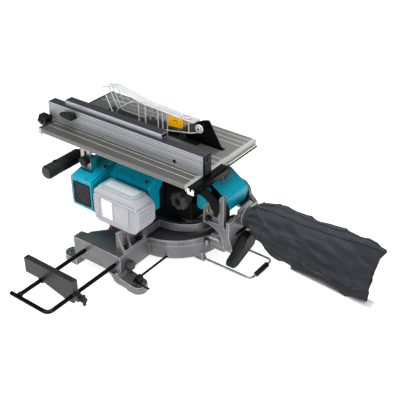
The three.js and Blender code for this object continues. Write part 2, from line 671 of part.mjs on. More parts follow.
// ---------------------------------------------------------------- blade and drive
function blade() {
  const points = [];
  for (let tooth = 0; tooth < BLADE.teeth; tooth += 1) {
    const step = 360 / BLADE.teeth;
    const start = tooth * step;
    const places = [[BLADE.r, start], [BLADE.r - 1, start + step * 0.35],
      [BLADE.r - 8, start + step * 0.62], [BLADE.r - 7, start + step * 0.86]];
    for (const [reach, angle] of places) {
      const turn = THREE.MathUtils.degToRad(angle);
      points.push([BLADE.y + reach * Math.cos(turn), BLADE.z + reach * Math.sin(turn)]);
    }
  }
  const disc = plateYZ(points, -BLADE.thick / 2, BLADE.thick / 2);
  return cut(disc, cylinderX(8.3, -5, 5, BLADE.y, BLADE.z, 28));
}

function arbor() {
  const { y, z } = BLADE;
  const shaft = cylinderX(8, -6.4, 56, y, z, 28);
  const innerFlange = cylinderX(24, 1.45, 6, y, z, 36);
  return join(shaft, innerFlange, pulley(BLADE, 34));
}

function outerFlange() {
  const { y, z } = BLADE;
  const flange = turnedX([[8.3, -6], [21, -6], [24, -4], [24, -1.45], [8.3, -1.45]], y, z, 36);
  const washer = cylinderX(12, -8, -6.5, y, z, 28);
  const head = cylinderX(9.5, -13, -7, y, z, 6);
  const rim = turnedX([[9, -7], [12, -7], [12, -5.5], [9, -5.5]], y, z, 28);
  return join(flange, washer, head, rim);
}

function pulley(place, r) {
  const profile = [[0.01, 36], [r + 1.5, 36], [r + 1.5, 37.5], [r, 38], [r, 48], [r + 1.5, 48.5],
    [r + 1.5, 50], [0.01, 50]];
  return turnedX(profile, place.y, place.z, 36);
}

function driveBelt() {
  const outer = beltOutline({ y: BLADE.y, z: BLADE.z, r: 36.6 }, { y: MOTOR.y, z: MOTOR.z, r: 19.6 });
  const inner = beltOutline({ y: BLADE.y, z: BLADE.z, r: 34.4 }, { y: MOTOR.y, z: MOTOR.z, r: 17.4 });
  return cut(plateYZ(outer, 38, 48), plateYZ(inner, 30, 60));
}

function motorRotor() {
  const { y, z } = MOTOR;
  const shaft = cylinderX(5, 22, 188, y, z, 20);
  const core = cylinderX(16, 92, 148, y, z, 28);
  const fanHub = cylinderX(10, 160, 172, y, z, 24);
  const fanDisc = cylinderX(26, 160, 162.5, y, z, 32);
  const vanes = [];
  for (let i = 0; i < 8; i += 1) {
    const vane = box(162, 171, 8, 25, -1, 1).rotateX(Math.PI * i / 4);
    vanes.push(vane.translate(0, y, z));
  }
  return join(shaft, core, fanHub, fanDisc, pulley(MOTOR, 17), ...vanes);
}

function motorStator() {
  return turnedX([[17, 90], [29.5, 90], [29.5, 150], [17, 150]], MOTOR.y, MOTOR.z, 36);
}

function lowerGuard() {
  const { y, z } = BLADE;
  const outer = plateYZ(sectorPoints(y, z, 95, 137, 152, 228, 16), -9.5, 9.5);
  const inner = plateYZ(sectorPoints(y, z, 80, 133, 140, 250, 18), -7.5, 7.5);
  const plate = plateYZ(sectorPoints(y, z, 20, 100, 168, 214, 8), 7.5, 9.5);
  const hub = cylinderX(26, 7.5, 9.5, y, z, 28);
  const hole = cylinderX(12, 0, 20, y, z, 28);
  return cut(join(cut(outer, inner), plate, hub), hole);
}

// ---------------------------------------------------------------- saw table on the head
function sawTable() {
  const { left, right, front, rear, top, skin, lip } = SAW_TABLE;
  const low = top - skin;
  const foot = top - lip;
  const outline = [[left + 1.5, top]];
  const grooves = [-72, -54, -36, 40, 58, 76, 94, 134, 152];
  for (const x of grooves) {
    outline.push([x - 0.9, top], [x, top - 1], [x + 0.9, top]);
  }
  outline.push([right - 1.5, top], [right, top - 1.5], [right, foot], [right - 5, foot],
    [right - 5, low], [62, low], [62, foot + 2], [58, foot + 2], [58, low], [-56, low],
    [-56, foot + 2], [-60, foot + 2], [-60, low], [left + 5, low], [left + 5, foot], [left, foot],
    [left, top - 1.5]);
  const plate = plateXZ(outline, front, rear);
  const insertRoom = box(-22, 22, -216, 82, 297, 310);
  const slot = box(-7, 7, -200, 144, 280, 310);
  return cut(plate, insertRoom, slot);
}

function tableInsert() {
  return cut(box(-21.7, 21.7, -215.7, 81.7, 297 + TOUCH_GAP, 300), box(-3.5, 3.5, -190, 90, 290, 310));
}

function tableRail(y0, y1, outerSide) {
  const { left, right } = SAW_TABLE;
  const rail = box(left, right, y0, y1, 284, 299.4);
  const grooveY = outerSide > 0 ? [y1 - 3, y1 + 1] : [y0 - 1, y0 + 3];
  return cut(rail, box(left - 5, right + 5, grooveY[0], grooveY[1], 289, 292));
}

function heightBracket() {
  const plate = box(166, 169, -150, -118, 229, 288 - TOUCH_GAP);
  return cut(plate, box(160, 175, -138, -130, 233, 280));
}

function rearBracket() {
  const plate = box(4, 34, 158 + TOUCH_GAP, 161, 235, 294 - TOUCH_GAP);
  return cut(plate, box(15, 23, 150, 170, 239, 284));
}

function frontHeightKnob() {
  const grip = plateYZ(lobedOutline(-134, 256, 12, 6, 2, 24), 169 + TOUCH_GAP, 182, 1);
  return join(grip, cylinderX(3, 152, 178, -134, 256, 16));
}

function rearHeightKnob() {
  const stud = cylinderY(3, 146, 170, 19, 261, 16);
  const hub = cylinderY(7, 161 + TOUCH_GAP, 174, 19, 261, 20);
  return join(stud, hub, box(8, 30, 165, 172, 258.5, 263.5));
}

function ripFence() {
  const { left, right, front, rear, top } = FENCE;
  const bottom = SAW_TABLE.top + TOUCH_GAP;
  const outline = [[left, bottom], [right, bottom], [right, bottom + 5], [right - 1.2, bottom + 6],
    [right, bottom + 7], [right, bottom + 11], [right - 1.2, bottom + 12], [right, bottom + 13],
    [right, top - 12], [right - 1.2, top - 11], [right, top - 10], [right, top - 6],
    [right - 1.2, top - 5], [right, top - 4], [right, top], [left, top]];
  const body = plateXZ(outline, front, rear);
  const tunnel = box(left + 3, right - 4, front - 5, rear + 5, bottom + 3, top - 3);
  const holes = [90.4, 164.8].map((y) => cylinderZ(3.2, top - 6, top + 5, 114, y, 14));
  const sideHole = cylinderX(4, 120, 135, 99.2, 312.6, 14);
  return cut(body, tunnel, ...holes, sideHole);
}

function fenceFrontBlock() {
  const block = box(128, 152, -291, -281.4, 284, 314);
  return cut(block, cylinderY(4.3, -300, -270, 140, 303, 16));
}

function fenceCarrier() {
  const { left, right, rear, top } = FENCE;
  const bar = plateYZ([[175.4, 284], [196, 284], [196, 296], [192, 300], [175.4, 300]], 56, 180);
  const cap = box(left, right, rear + TOUCH_GAP, rear + 5, 298, top);
  return join(bar, cap);
}

function fenceLockKnob() {
  return lobedKnobY(140, 303, -306, -291 - TOUCH_GAP, 16, 4, -284);
}

function subFence() {
  const front = -242;
  const rear = 56;
  const outline = [[94, 301], [102.6, 301], [102.6, FENCE.top + TOUCH_GAP], [117, FENCE.top + TOUCH_GAP],
    [117, 361], [94, 361]];
  const body = plateXZ(outline, front, rear);
  const tunnel = plateXZ([[96, 303], [100.6, 303], [100.6, 350.4], [115, 350.4], [115, 358],
    [96, 358]], front - 5, rear + 5);
  return cut(body, tunnel);
}

function subFenceLever() {
  const hub = cylinderX(9, 127 + TOUCH_GAP, 139, -205, 334, 20);
  const lever = plateYZ([[-240, 328], [-240, 336], [-205, 344], [-198, 334], [-205, 325]], 130, 142, 1);
  return join(hub, lever);
}

// ---------------------------------------------------------------- riving knife and blade guard
function rivingKnife() {
  const outline = [[88, 228.5], [114, 228.5], [118, 262], [138, 300], [101, 361], [84, 357],
    [40, 332], [20, 318], [39, 302], [64, 276], [81, 250]];
  const hole = cylinderX(4.3, -5, 5, GUARD_PIVOT.y, GUARD_PIVOT.z, 16);
  return cut(plateYZ(outline, -1.1, 1.1), hole);
}

function guardPin() {
  const { y, z } = GUARD_PIVOT;
  return join(cylinderX(4, -18, 18, y, z, 20), cylinderX(7.5, 16 + TOUCH_GAP, 19.5, y, z, 20),
    cylinderX(7.5, -19.5, -16 - TOUCH_GAP, y, z, 20));
}

function bladeGuard() {
  const { y, z } = GUARD_PIVOT;
  const outline = [[-213, 364], [-210, 370], [-182, 377], [-140, 370], [-90, 359], [36, 353],
    [70, 353], [92, 350], [95, 342], [92, 334], [80, 330], [60, 322], [-45, 301], [-182, 301]];
  const shell = plateYZ(outline, -16, 16);
  const inside = [[-209, 362], [-207, 367], [-182, 374.6], [-140, 367.6], [-90, 356.6], [30, 350.6],
    [34, 390], [110, 390], [110, 290], [-179, 290]];
  const hollow = plateYZ(inside, -14, 14);
  return cut(shell, hollow, cylinderX(4.3, -30, 30, y, z, 20));
}

// ---------------------------------------------------------------- assembly
const colours = {
  casting: ["casting", 0x868a8b, 0.75, 0.45],
  darkCast: ["dark_cast", 0x3a3b3d, 0.3, 0.55],
  blackPlastic: ["black_plastic", 0x232325, 0, 0.5],
  teal: ["teal_plastic", 0x009baf, 0, 0.4],
  paleGrey: ["pale_grey_plastic", 0xb9bcbf, 0, 0.4],
  aluminium: ["aluminium", 0x8b8a84, 0.9, 0.4],
  fenceMetal: ["fence_aluminium", 0x9ea3a6, 0.9, 0.35],
  steel: ["steel", 0xa6a8aa, 0.95, 0.3],
  zinc: ["zinc_steel", 0xc8cac9, 0.9, 0.3],
  chrome: ["chrome", 0xd8dadc, 1, 0.12],
  clear: ["clear_plastic", 0xeef2f4, 0, 0.1, 0.35],
  fabric: ["bag_fabric", 0x3a3e42, 0, 0.9],
  strip: ["white_strip", 0xe9ebea, 0, 0.5],
  rubber: ["rubber", 0x1c1c1d, 0, 0.85],
  blackRod: ["black_rod", 0x1b1b1d, 0.4, 0.35],
  copper: ["winding", 0xa8643a, 0.8, 0.4],
};
const slots = {};
for (const [key, values] of Object.entries(colours)) slots[key] = material(...values);

const pieces = [
  ["base_casting", baseCasting, "casting"],
  ["guide_fence", guideFence, "casting"],
  ["turntable_bolt", turntableBolt, "steel"],
  ["hex_wrench", hexWrench, "blackRod"],
  ["rear_wire", rearWire, "chrome"],
  ["rear_wire_grip", wireGrip, "rubber"],
  ["holder_wire", holderWire, "blackRod"],
  ["holder_lock_knob", () => lobedKnobY(210, 44, 20 + TOUCH_GAP, 34, 13, 4, 13), "blackPlastic"],
  ["stop_plate", stopPlate, "blackRod"],
  ["stop_wing_screw", stopWingScrew, "blackPlastic"],
  ["turntable", turntable, "casting"],
  ["kerf_board_right", () => kerfBoard(1), "blackPlastic"],
  ["kerf_board_left", () => kerfBoard(-1), "blackPlastic"],
  ["mitre_grip", mitreGrip, "blackPlastic"],
  ["mitre_lever", mitreLever, "blackPlastic"],
  ["mitre_lever_bracket", mitreLeverBracket, "darkCast"],
  ["bevel_arm", bevelArm, "casting"],
  ["pivot_pin", pivotPin, "steel"],
  ["pivot_spring", pivotSpring, "zinc"],
  ["stop_pin", stopPin, "blackPlastic"],
  ["bevel_lever", bevelLever, "blackPlastic"],
  ["dust_nozzle", dustNozzle, "casting"],
  ["dust_bag", dustBag, "fabric"],
  ["bag_closure_strip", bagStrip, "strip"],
  ["head_casting", headCasting, "darkCast"],
  ["pivot_cover", pivotCover, "teal"],
  ["motor_housing", motorHousing, "teal"],
  ["vent_grille", ventGrille, "blackPlastic"],
  ["handle_bar", handleBar, "rubber"],
  ["trigger", trigger, "blackPlastic"],
  ["lock_off_button", lockOffButton, "blackPlastic"],
  ["battery_pack", batteryPack, "paleGrey"],
  ["battery_button", batteryButton, "blackPlastic"],
  ["star_knob", starKnob, "blackPlastic"],
  ["blade", blade, "steel"],
  ["arbor", arbor, "steel"],
  ["outer_flange", outerFlange, "steel"],
  ["drive_belt", driveBelt, "rubber"],
  ["motor_rotor", motorRotor, "steel"],
  ["motor_stator", motorStator, "copper"],
  ["lower_guard", lowerGuard, "clear"],
  ["riving_knife", rivingKnife, "blackRod"],
  ["guard_pin", guardPin, "steel"],
  ["blade_guard", bladeGuard, "clear"],
  ["saw_table", sawTable, "aluminium"],
  ["table_insert", tableInsert, "darkCast"],
  ["rear_rail", () => tableRail(165.3, 175, 1), "fenceMetal"],
  ["front_rail", () => tableRail(-281, -271.3, -1), "fenceMetal"],
  ["height_bracket", heightBracket, "zinc"],
  ["height_knob_front", frontHeightKnob, "blackPlastic"],
  ["rear_bracket", rearBracket, "zinc"],
  ["height_knob_rear", rearHeightKnob, "blackPlastic"],
  ["rip_fence", ripFence, "fenceMetal"],
  ["fence_carrier", fenceCarrier, "blackPlastic"],
  ["fence_front_block", fenceFrontBlock, "blackPlastic"],
  ["fence_lock_knob", fenceLockKnob, "blackPlastic"],
  ["sub_fence", subFence, "fenceMetal"],
  ["sub_fence_lever", subFenceLever, "blackPlastic"],
];

const assembly = new THREE.Group();
assembly.name = "table_top_mitre_saw";
for (const [name, build, slot] of pieces) {
  const mesh = new THREE.Mesh(build(), slots[slot]);
  mesh.name = name;
  assembly.add(mesh);
}
assembly.position.set(TURNTABLE_AXIS.x, TURNTABLE_AXIS.y, 0);

export default assembly;
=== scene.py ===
"""Looks of the battery table-top mitre saw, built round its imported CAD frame.

Lengths below are in millimetres from the turntable axis on the floor: X to the operator's right,
Y to the rear, Z up. place() turns them into the frame's metres.
"""

import json
import math

import bmesh
import bpy
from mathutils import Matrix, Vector, noise


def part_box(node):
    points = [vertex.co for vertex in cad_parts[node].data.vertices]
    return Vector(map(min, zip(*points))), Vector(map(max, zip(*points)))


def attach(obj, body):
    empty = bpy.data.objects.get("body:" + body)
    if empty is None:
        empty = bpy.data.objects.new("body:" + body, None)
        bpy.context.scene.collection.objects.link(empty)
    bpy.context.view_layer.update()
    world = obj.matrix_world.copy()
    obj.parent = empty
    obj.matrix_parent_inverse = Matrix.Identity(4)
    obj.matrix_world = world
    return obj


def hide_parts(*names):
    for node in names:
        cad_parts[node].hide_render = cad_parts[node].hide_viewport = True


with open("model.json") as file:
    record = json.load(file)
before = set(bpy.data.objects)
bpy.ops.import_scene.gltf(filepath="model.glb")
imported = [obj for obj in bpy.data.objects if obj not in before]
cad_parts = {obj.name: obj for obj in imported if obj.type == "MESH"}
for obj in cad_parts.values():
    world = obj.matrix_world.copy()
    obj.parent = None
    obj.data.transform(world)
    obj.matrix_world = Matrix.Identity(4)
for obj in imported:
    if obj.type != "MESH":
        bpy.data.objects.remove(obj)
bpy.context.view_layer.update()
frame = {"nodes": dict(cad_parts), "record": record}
nodes = frame["nodes"]

MM = 0.001


def middle(node):
    low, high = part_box(node)
    return (low + high) / 2


ORIGIN = middle("turntable_bolt")
ORIGIN.z = 0.0


def place(x, y, z):
    """A point given in millimetres from the turntable axis, in the frame's metres."""
    return Vector((ORIGIN.x + x * MM, ORIGIN.y + y * MM, z * MM))


def add_object(name, data):
    made = bpy.data.objects.new(name, data)
    bpy.context.scene.collection.objects.link(made)
    return made


# ---------- camera and light
CAMERA_AZIMUTH = 126.65
CAMERA_ELEVATION = 32.57
CAMERA_PLACE = (1254.5, 1008.1, 1136.0)
LENS = 68.16


def make_camera():
    data = bpy.data.cameras.new("camera")
    data.sensor_width = 36.0
    data.lens = LENS
    data.clip_start, data.clip_end = 0.05, 60.0
    camera = add_object("camera", data)
    camera.location = place(*CAMERA_PLACE)
    turn, rise = math.radians(CAMERA_AZIMUTH), math.radians(CAMERA_ELEVATION)
    back = Vector((math.sin(turn) * math.cos(rise), -math.cos(turn) * math.cos(rise), math.sin(rise)))
    camera.rotation_mode = "QUATERNION"
    camera.rotation_quaternion = (-back).to_track_quat("-Z", "Y")
    bpy.context.scene.camera = camera


def area_light(name, where, target, size, power):
    data = bpy.data.lights.new(name, "AREA")
    data.shape = "RECTANGLE"
    data.size, data.size_y = size
    data.energy = power
    light = add_object(name, data)
    light.location = where
    light.rotation_mode = "QUATERNION"
    light.rotation_quaternion = (Vector(target) - Vector(where)).to_track_quat("-Z", "Y")


FLOOR_REACH = 6.0
FLOOR_GLOW = 0.7
WORLD_LIGHT = 0.22


def make_floor():
    """A floor that glows white, so that it reads as a plain backdrop."""
    mesh = bpy.data.meshes.new("floor")
    corners = [(FLOOR_REACH * x, FLOOR_REACH * y, 0) for x, y in ((-1, -1), (1, -1), (1, 1), (-1, 1))]
    mesh.from_pydata(corners, [], [(0, 1, 2, 3)])
    floor = add_object("floor", mesh)
    paint = bpy.data.materials.new("floor_paint")
    paint.use_nodes = True
    shader = paint.node_tree.nodes["Principled BSDF"]
    shader.inputs["Base Color"].default_value = (0.5, 0.5, 0.5, 1)
    shader.inputs["Roughness"].default_value = 0.9
    shader.inputs["Specular IOR Level"].default_value = 0.0
    shader.inputs["Emission Color"].default_value = (1, 1, 1, 1)
    shader.inputs["Emission Strength"].default_value = FLOOR_GLOW
    mesh.materials.append(paint)


def make_studio():
    world = bpy.data.worlds.new("studio")
    bpy.context.scene.world = world
    world.use_nodes = True
    backdrop = world.node_tree.nodes["Background"]
    backdrop.inputs["Color"].default_value = (0.97, 0.98, 1.0, 1)
    backdrop.inputs["Strength"].default_value = WORLD_LIGHT
    area_light("top_softbox", (0.3, 0.25, 2.4), (0, 0, 0.1), (1.9, 1.9), 52)
    area_light("side_softbox", (2.6, -0.5, 1.3), (0, 0, 0.15), (1.8, 1.0), 30)
    area_light("rear_softbox", (0.3, 2.7, 1.2), (0, 0.1, 0.15), (1.8, 1.0), 20)
    area_light("far_strip", (-2.1, -0.8, 1.6), (0, 0, 0.2), (0.4, 1.4), 10)
    make_floor()
    view = bpy.context.scene.view_settings
    view.view_transform = "Standard"
    view.look = "Medium High Contrast"


make_camera()
make_studio()

# ---------- material helpers
# Noise factors seldom leave this range, so ramps and spreads run between its ends.
FACTOR_LOW, FACTOR_HIGH = 0.3, 0.7
# How far a rounded normal leans from the flat one where an edge starts to show, and where it is full.
EDGE_START, EDGE_FULL = 0.02, 0.14


class Shader:
    """A Principled material with short names for the nodes used here."""

    def __init__(self, name, roughness, metallic=0.0, specular=0.5):
        self.material = bpy.data.materials.new(name)
        self.material.use_nodes = True
        self.tree = self.material.node_tree
        self.main = self.tree.nodes["Principled BSDF"]
        self.main.inputs["Roughness"].default_value = roughness
        self.main.inputs["Metallic"].default_value = metallic
        self.main.inputs["Specular IOR Level"].default_value = specular
        self.place = self.node("ShaderNodeTexCoord").outputs["Object"]
        self.normal = None

    def node(self, kind, **values):
        made = self.tree.nodes.new(kind)
        for key, value in values.items():
            setattr(made, key, value)
        return made

    def link(self, source, target):
        self.tree.links.new(source, target)

    def feed(self, value, socket):
        """Links an output to a socket, or sets the socket to a plain value."""
        if hasattr(value, "is_output"):
            self.link(value, socket)
        else:
            socket.default_value = value

    def stretched(self, x, y, z):
        """Object coordinates scaled on each axis, for textures that run along one axis."""
        mapping = self.node("ShaderNodeMapping")
        mapping.inputs["Scale"].default_value = (x, y, z)
        self.link(self.place, mapping.inputs["Vector"])
        return mapping.outputs["Vector"]

    def noise(self, per_metre, detail=2.0, rough=0.5, where=None):
        made = self.node("ShaderNodeTexNoise")
        made.inputs["Scale"].default_value = per_metre
        made.inputs["Detail"].default_value = detail
        made.inputs["Roughness"].default_value = rough
        self.link(where or self.place, made.inputs["Vector"])
        return made.outputs["Fac"]

    def ramp(self, factor, stops):
        made = self.node("ShaderNodeValToRGB")
        elements = made.color_ramp.elements
        while len(elements) > 1:
            elements.remove(elements[-1])
        elements[0].position, elements[0].color = stops[0][0], stops[0][1]
        for position, colour in stops[1:]:
            elements.new(position).color = colour
        self.link(factor, made.inputs["Fac"])
        return made.outputs["Color"]

    def tones(self, factor, colour, dark, light):
        """A colour times dark where factor is low, and times light where it is high."""
        return self.ramp(factor, [(FACTOR_LOW, shade(colour, dark)), (FACTOR_HIGH, shade(colour, light))])

    def mix(self, factor, first, second):
        made = self.node("ShaderNodeMix", data_type="RGBA", blend_type="MIX")
        self.feed(factor, made.inputs["Factor"])
        self.feed(first, made.inputs["A"])
        self.feed(second, made.inputs["B"])
        return made.outputs["Result"]

    def math(self, operation, first, second=None):
        made = self.node("ShaderNodeMath", operation=operation)
        self.feed(first, made.inputs[0])
        if second is not None:
            self.feed(second, made.inputs[1])
        return made.outputs["Value"]

    def remap(self, value, from_low, from_high, to_low=0.0, to_high=1.0):
        made = self.node("ShaderNodeMapRange")
        made.inputs["From Min"].default_value = from_low
        made.inputs["From Max"].default_value = from_high
        made.inputs["To Min"].default_value = to_low
        made.inputs["To Max"].default_value = to_high
        self.link(value, made.inputs["Value"])
        return made.outputs["Result"]

    def spread(self, factor, low, high):
        """A noise factor, stretched from low to high."""
        return self.remap(factor, FACTOR_LOW, FACTOR_HIGH, low, high)

    def edges(self, radius_mm):
        """1 along rounded edges, 0 on the flats. The materials here brighten it as a painted highlight."""
        bevel = self.node("ShaderNodeBevel")
        bevel.samples = 4
        bevel.inputs["Radius"].default_value = radius_mm * MM
        flat = self.node("ShaderNodeNewGeometry").outputs["Normal"]
        dot = self.node("ShaderNodeVectorMath", operation="DOT_PRODUCT")
        self.link(bevel.outputs["Normal"], dot.inputs[0])
        self.link(flat, dot.inputs[1])
        return self.remap(dot.outputs["Value"], 1 - EDGE_START, 1 - EDGE_FULL)

    def component(self, axis, vector=None):
        """One axis of a vector, which is the place on the object if none is given."""
        parts = self.node("ShaderNodeSeparateXYZ")
        self.link(vector or self.place, parts.inputs["Vector"])
        return parts.outputs[axis]

    def band(self, axis, middle_at, half):
        """1 within half of a place along one axis, 0 elsewhere."""
        away = self.math("ABSOLUTE", self.math("SUBTRACT", self.component(axis), middle_at))
        return self.math("LESS_THAN", away, half)

    def upward(self):
        """1 where a face looks up, -1 where it looks down."""
        return self.component("Z", self.node("ShaderNodeNewGeometry").outputs["Normal"])

    def slope(self, low, high):
        """0 where a face looks down and 1 where it looks up, with a soft step between low and high."""
        return self.remap(self.upward(), low, high)

    def facing_up(self):
        """1 where the surface faces up, 0 elsewhere."""
        return self.math("GREATER_THAN", self.upward(), 0.8)

    def bump(self, height, depth_mm, strength=1.0):
        made = self.node("ShaderNodeBump")
        made.inputs["Strength"].default_value = strength
        made.inputs["Distance"].default_value = depth_mm * MM
        self.link(height, made.inputs["Height"])
        if self.normal is not None:
            self.link(self.normal, made.inputs["Normal"])
        self.normal = made.outputs["Normal"]
        self.link(self.normal, self.main.inputs["Normal"])

    def colour(self, source):
        self.link(source, self.main.inputs["Base Color"])

    def roughness(self, source):
        self.link(source, self.main.inputs["Roughness"])


def rgb(red, green, blue):
    """An sRGB colour, 0 to 255, as linear RGBA."""
    def linear(value):
        value /= 255
        return value / 12.92 if value <= 0.04045 else ((value + 0.055) / 1.055) ** 2.4
    return linear(red), linear(green), linear(blue), 1.0


def shade(colour, factor):
    return tuple(min(1.0, channel * factor) for channel in colour[:3]) + (1.0,)


# ---------- materials

def cast_paint(name, colour, roughness=0.34, metallic=0.5):
    """Silver-grey paint on a sand-textured casting, with painted shade on the faces that look up and painted
    highlights on its edges.
    """
    s = Shader(name, roughness, metallic)
    cloud = s.noise(22, 4)
    tone = s.tones(cloud, colour, 0.86, 1.12)
    # Painted shade: faces that look up are darkened towards half the colour.
    tone = s.mix(s.facing_up(), tone, s.mix(0.6, tone, shade(colour, 0.5)))
    # Painted highlight: rounded edges are brightened.
    tone = s.mix(s.edges(3.0), tone, shade(colour, 3.6))
    s.colour(tone)
    s.roughness(s.spread(s.noise(90, 3), roughness - 0.07, roughness + 0.1))
    s.bump(s.noise(900, 3, 0.6), 0.12, 0.55)
    s.bump(s.noise(120, 2), 0.12, 0.4)
    return s.material


def moulded(name, colour, roughness=0.5, grain=1400, depth=0.05, edge=1.5, specular=0.5):
    """Injection-moulded plastic: fine spark-eroded grain, slight tone changes, and painted highlights on its
    edges.
    """
    s = Shader(name, roughness, 0.0, specular)
    cloud = s.noise(14, 3)
    tone = s.tones(cloud, colour, 0.92, 1.07)
    # Painted highlight: rounded edges are brightened by the edge factor.
    tone = s.mix(s.edges(0.9), tone, shade(colour, edge))
    s.colour(tone)
    s.roughness(s.spread(s.noise(60, 3), roughness - 0.06, roughness + 0.08))
    s.bump(s.noise(grain, 2, 0.7), depth, 0.6)
    return s.material


def brushed(name, colour, along, roughness=0.34, metallic=0.9, contrast=0.12, edge=1.8, painted_top_reflection=None,
            painted_groove_shade=()):
    """Metal with fine lines along one axis. lid, if given, is a painted dark reflection on what faces up, as
    a dark backdrop would give.

    stripes are heights of grooves that get painted shade, as (millimetres, half their width).
    """
    s = Shader(name, roughness, metallic)
    scale = {"x": (6, 900, 900), "y": (900, 6, 900), "z": (900, 900, 6)}[along]
    lines = s.noise(1.0, 3, 0.6, s.stretched(*scale))
    cloud = s.noise(9, 3)
    tone = s.tones(lines, colour, 1 - contrast, 1 + contrast)
    tone = s.mix(0.35, tone, s.tones(cloud, colour, 0.85, 1.15))
    # Painted shade in the grooves.
    for height, half in painted_groove_shade:
        tone = s.mix(s.band("Z", height * MM, half * MM), tone, shade(colour, 0.22))
    # Painted dark reflection on faces that look up.
    if painted_top_reflection:
        tone = s.mix(s.facing_up(), tone, painted_top_reflection)
    # Painted highlight on rounded edges.
    tone = s.mix(s.edges(0.8), tone, shade(colour, edge))
    s.colour(tone)
    s.roughness(s.spread(lines, roughness - 0.08, roughness + 0.12))
    s.bump(lines, 0.02, 0.6)
    return s.material


def coated(name, colour, roughness, metallic=0.2, edge=1.6, specular=0.5):
    """Powder coat or black oxide on steel: faint orange peel, and painted highlights on its edges."""
    s = Shader(name, roughness, metallic, specular)
    cloud = s.noise(35, 3)
    tone = s.tones(cloud, colour, 0.85, 1.15)
    # Painted highlight on rounded edges.
    tone = s.mix(s.edges(0.8), tone, shade(colour, edge))
    s.colour(tone)
    s.roughness(s.spread(s.noise(150, 2), roughness - 0.06, roughness + 0.08))
    s.bump(s.noise(450, 2), 0.05, 0.5)
    return s.material


def bright_metal(name, colour, roughness, smear=70):
    s = Shader(name, roughness, 1.0)
    cloud = s.noise(smear, 4)
    s.colour(s.tones(cloud, colour, 0.88, 1.06))
    s.roughness(s.spread(s.noise(smear * 3, 3), max(0.02, roughness - 0.05), roughness + 0.08))
    return s.material


def clear_plastic(name, colour, alpha, roughness=0.08):
    """Clear polycarbonate, faintly frosted by scratches. It lets most light through unbent."""
    s = Shader(name, roughness, 0.0, 0.5)
    s.main.inputs["Alpha"].default_value = alpha
    s.colour(s.ramp(s.noise(40, 3), [(0.3, shade(colour, 0.94)), (0.7, colour)]))
    s.roughness(s.spread(s.noise(12, 2), roughness, roughness + 0.08))
    return s.material


WEAVE_SCALE = 280


def fabric(name, colour):
    """Plain-woven nylon: about one thread to the millimetre, a soft sheen, painted light where it faces up
    and painted shade where it faces down.
    """
    s = Shader(name, 0.78, 0.0, 0.25)
    s.main.inputs["Sheen Weight"].default_value = 0.12
    s.main.inputs["Sheen Roughness"].default_value = 0.45
    warp = s.node("ShaderNodeTexWave", bands_direction="Y")
    weft = s.node("ShaderNodeTexWave", bands_direction="Z")
    for threads in (warp, weft):
        threads.inputs["Scale"].default_value = WEAVE_SCALE
        threads.inputs["Distortion"].default_value = 1.2
        s.link(s.place, threads.inputs["Vector"])
    weave = s.math("MAXIMUM", warp.outputs["Fac"], weft.outputs["Fac"])
    cloud = s.noise(16, 4)
    tone = s.tones(cloud, colour, 0.8, 1.22)
    tone = s.mix(s.math("MULTIPLY", weave, 0.35), tone, shade(colour, 1.5))
    # Painted light and shade: lighter where the cloth faces up, darker where it faces down.
    upper = s.slope(-0.4, 0.55)
    shaded = s.mix(0.7, tone, shade(colour, 0.4))
    lit = s.mix(0.45, tone, shade(colour, 3.0))
    tone = s.mix(upper, shaded, lit)
    s.colour(tone)
    s.roughness(s.spread(s.noise(70, 2), 0.68, 0.86))
    s.bump(weave, 0.12, 0.5)
    s.bump(s.noise(70, 4, 0.6), 0.8, 0.3)
    return s.material


def table_top():
    """Cast table: warm grey, machined along Y, with a painted highlight in each groove and on its edges."""
    colour = rgb(122, 122, 118)
    s = Shader("table_aluminium", 0.36, 0.75)
    lines = s.noise(1.0, 3, 0.6, s.stretched(700, 4, 700))
    cloud = s.noise(8, 4)
    tone = s.tones(lines, colour, 0.86, 1.12)
    tone = s.mix(0.4, tone, s.tones(cloud, colour, 0.8, 1.15))
    # Painted highlight: a bright line in each groove.
    groove_highlight_mask = None
    for x in TABLE_GROOVES:
        line = s.band("X", ORIGIN.x + x * MM, GROOVE_HALF_WIDTH * MM)
        groove_highlight_mask = line if groove_highlight_mask is None else s.math("MAXIMUM", groove_highlight_mask, line)
    tone = s.mix(groove_highlight_mask, tone, rgb(196, 194, 186))
    # Painted highlight on rounded edges.
    tone = s.mix(s.edges(1.8), tone, rgb(222, 221, 216))
    s.colour(tone)
    s.roughness(s.spread(lines, 0.36, 0.54))
    s.bump(lines, 0.02, 0.5)
    return s.material


def label(name, colour, ink, per_metre, cover):
    """Printed vinyl: plain colour with faint smudges of ink, and no lettering."""
    s = Shader(name, 0.35, 0.0, 0.5)
    marks = s.noise(per_metre, 3, 0.6, s.stretched(1, 0.5, 1.6))
    s.colour(s.ramp(marks, [(0, colour), (cover, colour), (cover + 0.04, ink), (1, ink)]))
    s.roughness(s.spread(s.noise(200, 2), 0.3, 0.45))
    return s.material


GROOVE_HALF_WIDTH = 0.9
TABLE_GROOVES = [-72, -54, -36, 40, 58, 76, 94, 134, 152]
WHITISH = (0.86, 0.87, 0.88, 1)
CLEAR_EDGE = (0.84, 0.85, 0.86, 1)
CLEAR_ROOF = (0.6, 0.61, 0.63, 1)
